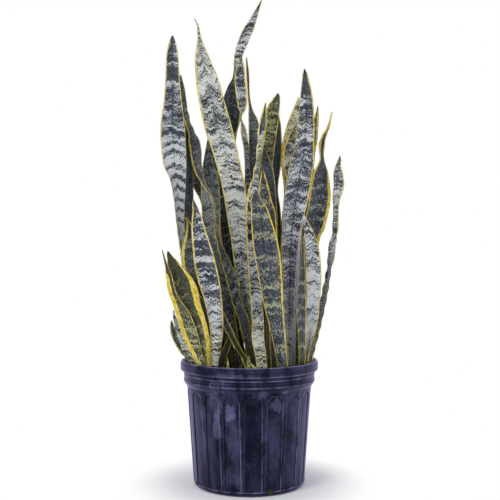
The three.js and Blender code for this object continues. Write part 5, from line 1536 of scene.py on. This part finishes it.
@dataclass
class PottingMix:
    """The bed of potting mix: fine crumbs with bark chips, perlite, and roots that show at the drain holes.

    edge is the radius and height of the pot's inner corners, from the collar down. Each of crumbs is how far
    apart one kind of them is, and how tall.
    """

    node: str = "soil"
    rings: int = 110
    columns: int = 240
    wall_rows: int = 14
    edge: tuple[tuple[float, float], ...] = ((117.2, 186), (111.4, 178), (99.4, 6.5), (95.4, 3))
    crumbs: tuple[tuple[float, float], ...] = ((21, 1.1), (8, 0.8), (3.6, 0.55))
    chip_count: int = 330
    perlite_count: int = 90
    strewn_radius: float = 112
    foot_clearance: float = 9
    root_radius: float = 100.2
    roots_a_hole: int = 6
    seed: int = 11

    def top(self, places: np.ndarray) -> np.ndarray:
        """Gives the height of the mix at flat places: a low crown under crumbs of several sizes.

        Args:
            places: x and y, as any shape by 2.

        Returns:
            The heights.
        """
        reach = np.linalg.norm(places, axis=-1) / (self.edge[0][0] - SOIL_FIT)
        height = SOIL_LEVEL - 0.6 + SOIL_CROWN * (1 - reach**2)
        for number, (size, tall) in enumerate(self.crumbs):
            height = height + tall * clouds(places + 500, size, self.seed + number)
        return height

    def bed(self) -> bpy.types.Object:
        """Makes the bed: a crumbly top over a wall that follows the inside of the pot.

        Returns:
            The bed.
        """
        angle = np.linspace(0, 2 * math.pi, self.columns, endpoint=False)
        around = np.stack([np.sin(angle), -np.cos(angle)], -1)
        wall = np.array(self.edge[::-1], float)
        share = np.linspace(0, 1, self.wall_rows)[:, None]
        leaning = np.vstack([wall[:1], wall[1] + (wall[2] - wall[1]) * share, wall[3:]])
        leaning[:, 0] -= SOIL_FIT
        leaning[0, 1] += SOIL_FIT
        level = np.broadcast_to(leaning[:, None, 1:], (len(leaning), self.columns, 1))
        sides = np.concatenate([leaning[:, None, :1] * around, level], -1)
        reach = np.linspace(self.edge[0][0] - SOIL_FIT, 1.2, self.rings)
        flat = reach[:, None, None] * around
        crown = np.concatenate([flat, self.top(flat)[..., None]], -1)
        skin = Skin()
        numbers = skin.grid(np.vstack([sides, crown]))
        skin.fan(numbers[0], np.array([0, 0, FLOOR + SOIL_FIT]), up=False)
        skin.fan(numbers[-1], np.array([0, 0, self.top(np.zeros(2))]), up=True)
        bed = skin.piece("potting_mix")
        bed.data.materials.append(MixFinish().build())
        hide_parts(self.node)
        return bed

    def template(self) -> tuple[np.ndarray, np.ndarray]:
        """Works out a pebble: a cube of 2 by 2 faces a side, drawn halfway to a ball.

        Returns:
            Its 26 points and 24 faces.
        """
        work = bmesh.new()
        bmesh.ops.create_cube(work, size=2.0)
        bmesh.ops.subdivide_edges(work, edges=work.edges, cuts=1, use_grid_fill=True)
        points = np.array([corner.co[:] for corner in work.verts])
        faces = np.array([[corner.index for corner in face.verts] for face in work.faces])
        work.free()
        ball = points / np.linalg.norm(points, axis=1, keepdims=True)
        return points * 0.45 + ball * 0.6, faces

    def scatter(self, name: str, count: int, sizes: tuple[float, float], flatness: tuple[float, float],
                seed: int) -> bpy.types.Object:
        """Makes many pebbles that lie half sunk in the bed, clear of the leaves' feet.

        Args:
            name: the piece's name.
            count: how many places are tried.
            sizes: the smallest and largest half length.
            flatness: the smallest and largest share of that in width and height.
            seed: which random numbers.

        Returns:
            The piece.
        """
        rng = np.random.default_rng(seed)
        points, faces = self.template()
        reach = self.strewn_radius * np.sqrt(rng.uniform(0, 1, count))
        angle = rng.uniform(0, 2 * math.pi, count)
        flat = np.stack([reach * np.sin(angle), -reach * np.cos(angle)], -1)
        feet = np.array([rows[0][1:3] for rows in LEAVES.values()])
        flat = flat[np.linalg.norm(flat[:, None] - feet[None], axis=-1).min(1) > self.foot_clearance]
        count = len(flat)
        length = rng.uniform(*sizes, count)
        width, height = (length * rng.uniform(*flatness, count) for _ in range(2))
        shape = np.stack([length, width, height * 0.7], -1)
        rough = points[None] * (1 + 0.16 * rng.standard_normal((count, len(points), 1)))
        body = rough * shape[:, None, :]
        turn, tilt = rng.uniform(0, 2 * math.pi, count), rng.uniform(-0.4, 0.4, count)
        x, y, z = (body[..., axis] for axis in range(3))
        x, z = swung(x, z, tilt[:, None])
        x, y = swung(x, y, turn[:, None])
        lifted = self.top(flat) + shape[:, 2] * 0.25
        places = np.stack([x + flat[:, :1], y + flat[:, 1:], z + lifted[:, None]], -1)
        skin = Skin()
        skin.points.append(places.reshape(-1, 3))
        skin.count = count * len(points)
        skin.quads.append((faces[None] + np.arange(count)[:, None, None] * len(points)).reshape(-1, 4))
        made = skin.piece(name, smooth=False)
        recalculate(made)
        return made

    def roots(self) -> bpy.types.Object:
        """Makes the roots that show at the drain holes.

        Each is a tube whose middle line bows up inside a hole, and it stands off the line by its radius.

        Returns:
            The piece.
        """
        rng = np.random.default_rng(self.seed)
        skin = Skin()
        along = np.linspace(-1, 1, 22)
        ring = np.linspace(0, 2 * math.pi, 8, endpoint=False)
        count = self.roots_a_hole
        for hole in range(DRAIN_COUNT):
            facing = math.radians(FIRST_DRAIN_ANGLE + 360 / DRAIN_COUNT * hole)
            for height, thick in zip(rng.uniform(4.2, 10.5, count), rng.uniform(0.6, 1.1, count)):
                bow = 0.7 * np.sin(along * rng.uniform(2, 4) + rng.uniform(0, 6))
                radius = self.root_radius + 0.05 * height + 0.5 * np.sin(along * 3 + rng.uniform(0, 6))
                angle = facing + along * 6.6 / radius
                lift = np.maximum(height + bow, FLOOR + 1.3)
                out = radius[:, None] + thick * np.sin(ring)
                up = lift[:, None] + thick * np.cos(ring)
                tube = np.stack([out * np.sin(angle)[:, None], -out * np.cos(angle)[:, None], up], -1)
                numbers = skin.grid(tube)
                skin.fan(numbers[0], tube[0].mean(0), up=False)
                skin.fan(numbers[-1], tube[-1].mean(0), up=True)
        made = skin.piece("drain_roots")
        recalculate(made)
        return made

    def build(self) -> list[bpy.types.Object]:
        """Makes the bed with all that lies on it.

        Returns:
            The pieces.
        """
        chips = self.scatter("bark_chips", self.chip_count, (2.2, 6.5), (0.35, 0.7), self.seed + 5)
        chips.data.materials.append(BarkFinish().build())
        perlite = self.scatter("perlite", self.perlite_count, (1.0, 2.3), (0.75, 1.0), self.seed + 6)
        perlite.data.materials.append(PerliteFinish().build())
        roots = self.roots()
        old = RootFinish("drain_root_skin", pale=linear(70, 72, 46), dark=linear(22, 25, 17))
        roots.data.materials.append(old.build())
        pieces = [self.bed(), chips, perlite, roots]
        for piece in pieces:
            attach(piece, ROOT)
        return pieces


@dataclass(frozen=True)
class MixFinish:
    """Dark peaty crumbs, drier and paler on their tops."""

    wet: Colour = linear(38, 30, 25)
    dry: Colour = linear(92, 74, 58)
    fibre: Colour = linear(132, 108, 78)

    def build(self) -> bpy.types.Material:
        """Makes the material.

        Returns:
            The material.
        """
        recipe = Recipe.named("peaty_mix")
        place = recipe.place()
        broad = recipe.noise(place, 60.0, 4.0)
        fine = recipe.noise(place, 520.0, 4.0, 0.7)
        strands = recipe.noise(recipe.scaled(place, (900.0, 160.0, 300.0)), 1.0, 2.0)
        base = recipe.mix(broad * 0.5 + fine * 0.6 - 0.1, self.wet, self.dry)
        colour = recipe.mix(strands.step(0.62, 0.72) * 0.6, base, self.fibre)
        relief = fine * 0.7 + broad * 0.3
        return recipe.surface({
            "Base Color": colour, "Roughness": 0.95 - fine * 0.15,
            "Normal": recipe.bump(relief, 0.0016, 0.8), "Specular IOR Level": 0.25,
        })


@dataclass(frozen=True)
class BarkFinish:
    """Composted bark, brown with grey weathered grain."""

    dark: Colour = linear(58, 40, 28)
    light: Colour = linear(126, 96, 66)

    def build(self) -> bpy.types.Material:
        """Makes the material.

        Returns:
            The material.
        """
        recipe = Recipe.named("composted_bark")
        place = recipe.place()
        piece = recipe.noise(place, 95.0, 1.0)
        grain = recipe.noise(recipe.scaled(place, (240.0, 900.0, 420.0)), 1.0, 3.0)
        colour = recipe.mix(piece.step(0.35, 0.7) * 0.6 + grain * 0.5 - 0.1, self.dark, self.light)
        return recipe.surface({
            "Base Color": colour, "Roughness": 0.85 - grain * 0.1,
            "Normal": recipe.bump(grain, 0.0008, 0.6), "Specular IOR Level": 0.3,
        })


@dataclass(frozen=True)
class PerliteFinish:
    """White popped perlite, with the mix's dust in its pores."""

    white: Colour = linear(232, 230, 222)
    pore: Colour = linear(150, 142, 128)

    def build(self) -> bpy.types.Material:
        """Makes the material.

        Returns:
            The material.
        """
        recipe = Recipe.named("popped_perlite")
        place = recipe.place()
        pores = recipe.noise(place, 1400.0, 3.0)
        colour = recipe.mix(pores.step(0.55, 0.75), self.white, self.pore)
        return recipe.surface({
            "Base Color": colour, "Roughness": 0.9 - pores * 0.1,
            "Normal": recipe.bump(1 - pores, 0.0005, 0.6),
        })


@dataclass(frozen=True)
class RootFinish:
    """Root and rhizome skin: tan to olive, ringed across."""

    name: str = "root_skin"
    pale: Colour = linear(176, 146, 86)
    dark: Colour = linear(92, 76, 38)

    def build(self) -> bpy.types.Material:
        """Makes the material.

        Returns:
            The material.
        """
        recipe = Recipe.named(self.name)
        place = recipe.place()
        patches = recipe.noise(place, 130.0, 3.0)
        rings = recipe.noise(recipe.scaled(place, (420.0, 420.0, 120.0)), 1.0, 2.0)
        colour = recipe.mix(patches * 0.6 + rings * 0.4, self.dark, self.pale)
        return recipe.surface({
            "Base Color": colour, "Roughness": 0.7 + rings * 0.15,
            "Normal": recipe.bump(rings, 0.0006, 0.5),
        })


@dataclass
class Studio:
    """A plain pale floor under soft light, and the camera that the picture was taken with.

    near and far are where the floor starts to turn white and has turned white. The room is dim in front of
    the plant, bright behind it, and lit more from above. Lengths are in metres.
    """

    floor_radius: float = 9.0
    near: float = 0.12
    far: float = 0.24
    dim: float = 0.12
    bright: float = 0.75
    above: float = 0.35
    aim: tuple[float, float, float] = (0.0, 0.0, 0.45)
    room: Colour = (0.93, 0.94, 1.0)
    white: Colour = (1.0, 1.0, 1.0)

    def floor(self) -> None:
        """Lays the floor, a disc that turns to plain white away from the pot."""
        angle = np.linspace(0, 2 * math.pi, 96, endpoint=False)
        reach = self.floor_radius * np.array([1.0, 0.6, 0.2]) / MM
        skin = Skin()
        flat = reach[:, None, None] * np.stack([np.sin(angle), -np.cos(angle), 0 * angle], -1)
        numbers = skin.grid(flat)
        skin.fan(numbers[-1], np.zeros(3), up=True)
        floor = skin.piece("studio_floor")
        recipe = Recipe.named("pale_floor")
        x, y, _ = recipe.place().parts()
        away = (x * x + y * y).maths("SQRT")
        matt = recipe.node("ShaderNodeBsdfDiffuse", {}, {"Color": (0.86, 0.86, 0.86)})
        glow = recipe.node("ShaderNodeEmission", {}, {"Color": self.white, "Strength": 1.0})
        share = away.step(self.near, self.far)
        both = recipe.node("ShaderNodeMixShader", {}, {0: share, 1: matt, 2: glow})
        floor.data.materials.append(recipe.end(both))

    def lamp(self, name: str, place: tuple[float, float, float], size: float, power: float,
             colour: Colour) -> None:
        """Hangs a square soft light that looks at the plant's middle.

        Args:
            name: the light's name.
            place: where it hangs, in metres.
            size: its side.
            power: its power in watts.
            colour: its colour.
        """
        light = bpy.data.lights.new(name, "AREA")
        light.size = size
        light.energy = power
        light.color = colour
        made = bpy.data.objects.new(name, light)
        made.location = place
        x, y, z = np.array(self.aim) - np.array(place)
        upwards, around = math.atan2(z, math.hypot(x, y)), math.atan2(y, x)
        made.rotation_euler = (math.pi / 2 + upwards, 0, around - math.pi / 2)
        bpy.context.scene.collection.objects.link(made)

    def surround(self) -> None:
        """Fills the room with light, darker in front of the plant, and shows it as plain white."""
        world = bpy.data.worlds.new("white_room")
        recipe = Recipe(world)
        _, ahead, up = recipe.node("ShaderNodeTexCoord", {}, {}, "Generated").parts()
        level = self.dim + ahead.step(-0.75, 0.5) * (self.bright - self.dim) + up.step(0.1, 1.0) * self.above
        seen = recipe.node("ShaderNodeLightPath", {}, {}, "Is Camera Ray")
        shown = level + seen * (1 - level)
        glow = {"Color": recipe.mix(seen, self.room, self.white), "Strength": shown}
        recipe.end(recipe.node("ShaderNodeBackground", {}, glow))
        bpy.context.scene.world = world

    def camera(self) -> None:
        """Sets up the level camera."""
        lens = bpy.data.cameras.new("camera")
        lens.sensor_width = SENSOR_WIDTH
        lens.lens = FOCAL_PIXELS * SENSOR_WIDTH / PICTURE_SIDE
        made = bpy.data.objects.new("camera", lens)
        made.location = EYE
        made.rotation_euler = (math.pi / 2, 0, 0)
        bpy.context.scene.collection.objects.link(made)
        bpy.context.scene.camera = made

    def build(self) -> None:
        """Sets up the whole studio."""
        self.floor()
        self.surround()
        self.lamp("key", (-1.3, -1.6, 1.9), 1.1, 27.0, (0.985, 0.995, 1.0))
        self.lamp("fill", (1.5, -1.4, 0.6), 1.3, 16.0, (0.97, 0.98, 1.0))
        self.camera()
        bpy.context.scene.view_settings.view_transform = "Standard"


def main() -> None:
    """Builds the pieces in order and reports each."""
    logging.basicConfig(level=logging.INFO, format="%(name)s: %(message)s")
    Studio().build()
    skins = {finish.slot: finish.build() for finish in LEAF_FINISHES}
    pieces = []
    for number, (node, dress) in enumerate(DRESSES.items()):
        blade = Blade(node, LEAVES[node], dress, seed=SEED_STEP * number).build()
        blade.data.materials.append(skins[dress.finish])
        pieces.append(blade)
    pieces += [NurseryPot().build(), *PottingMix().build()]
    for piece in pieces:
        LOG.info("%s: %d points", piece.name, len(piece.data.vertices))
    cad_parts["rhizome"].data.materials[0] = RootFinish().build()


if __name__ == "__main__":
    main()
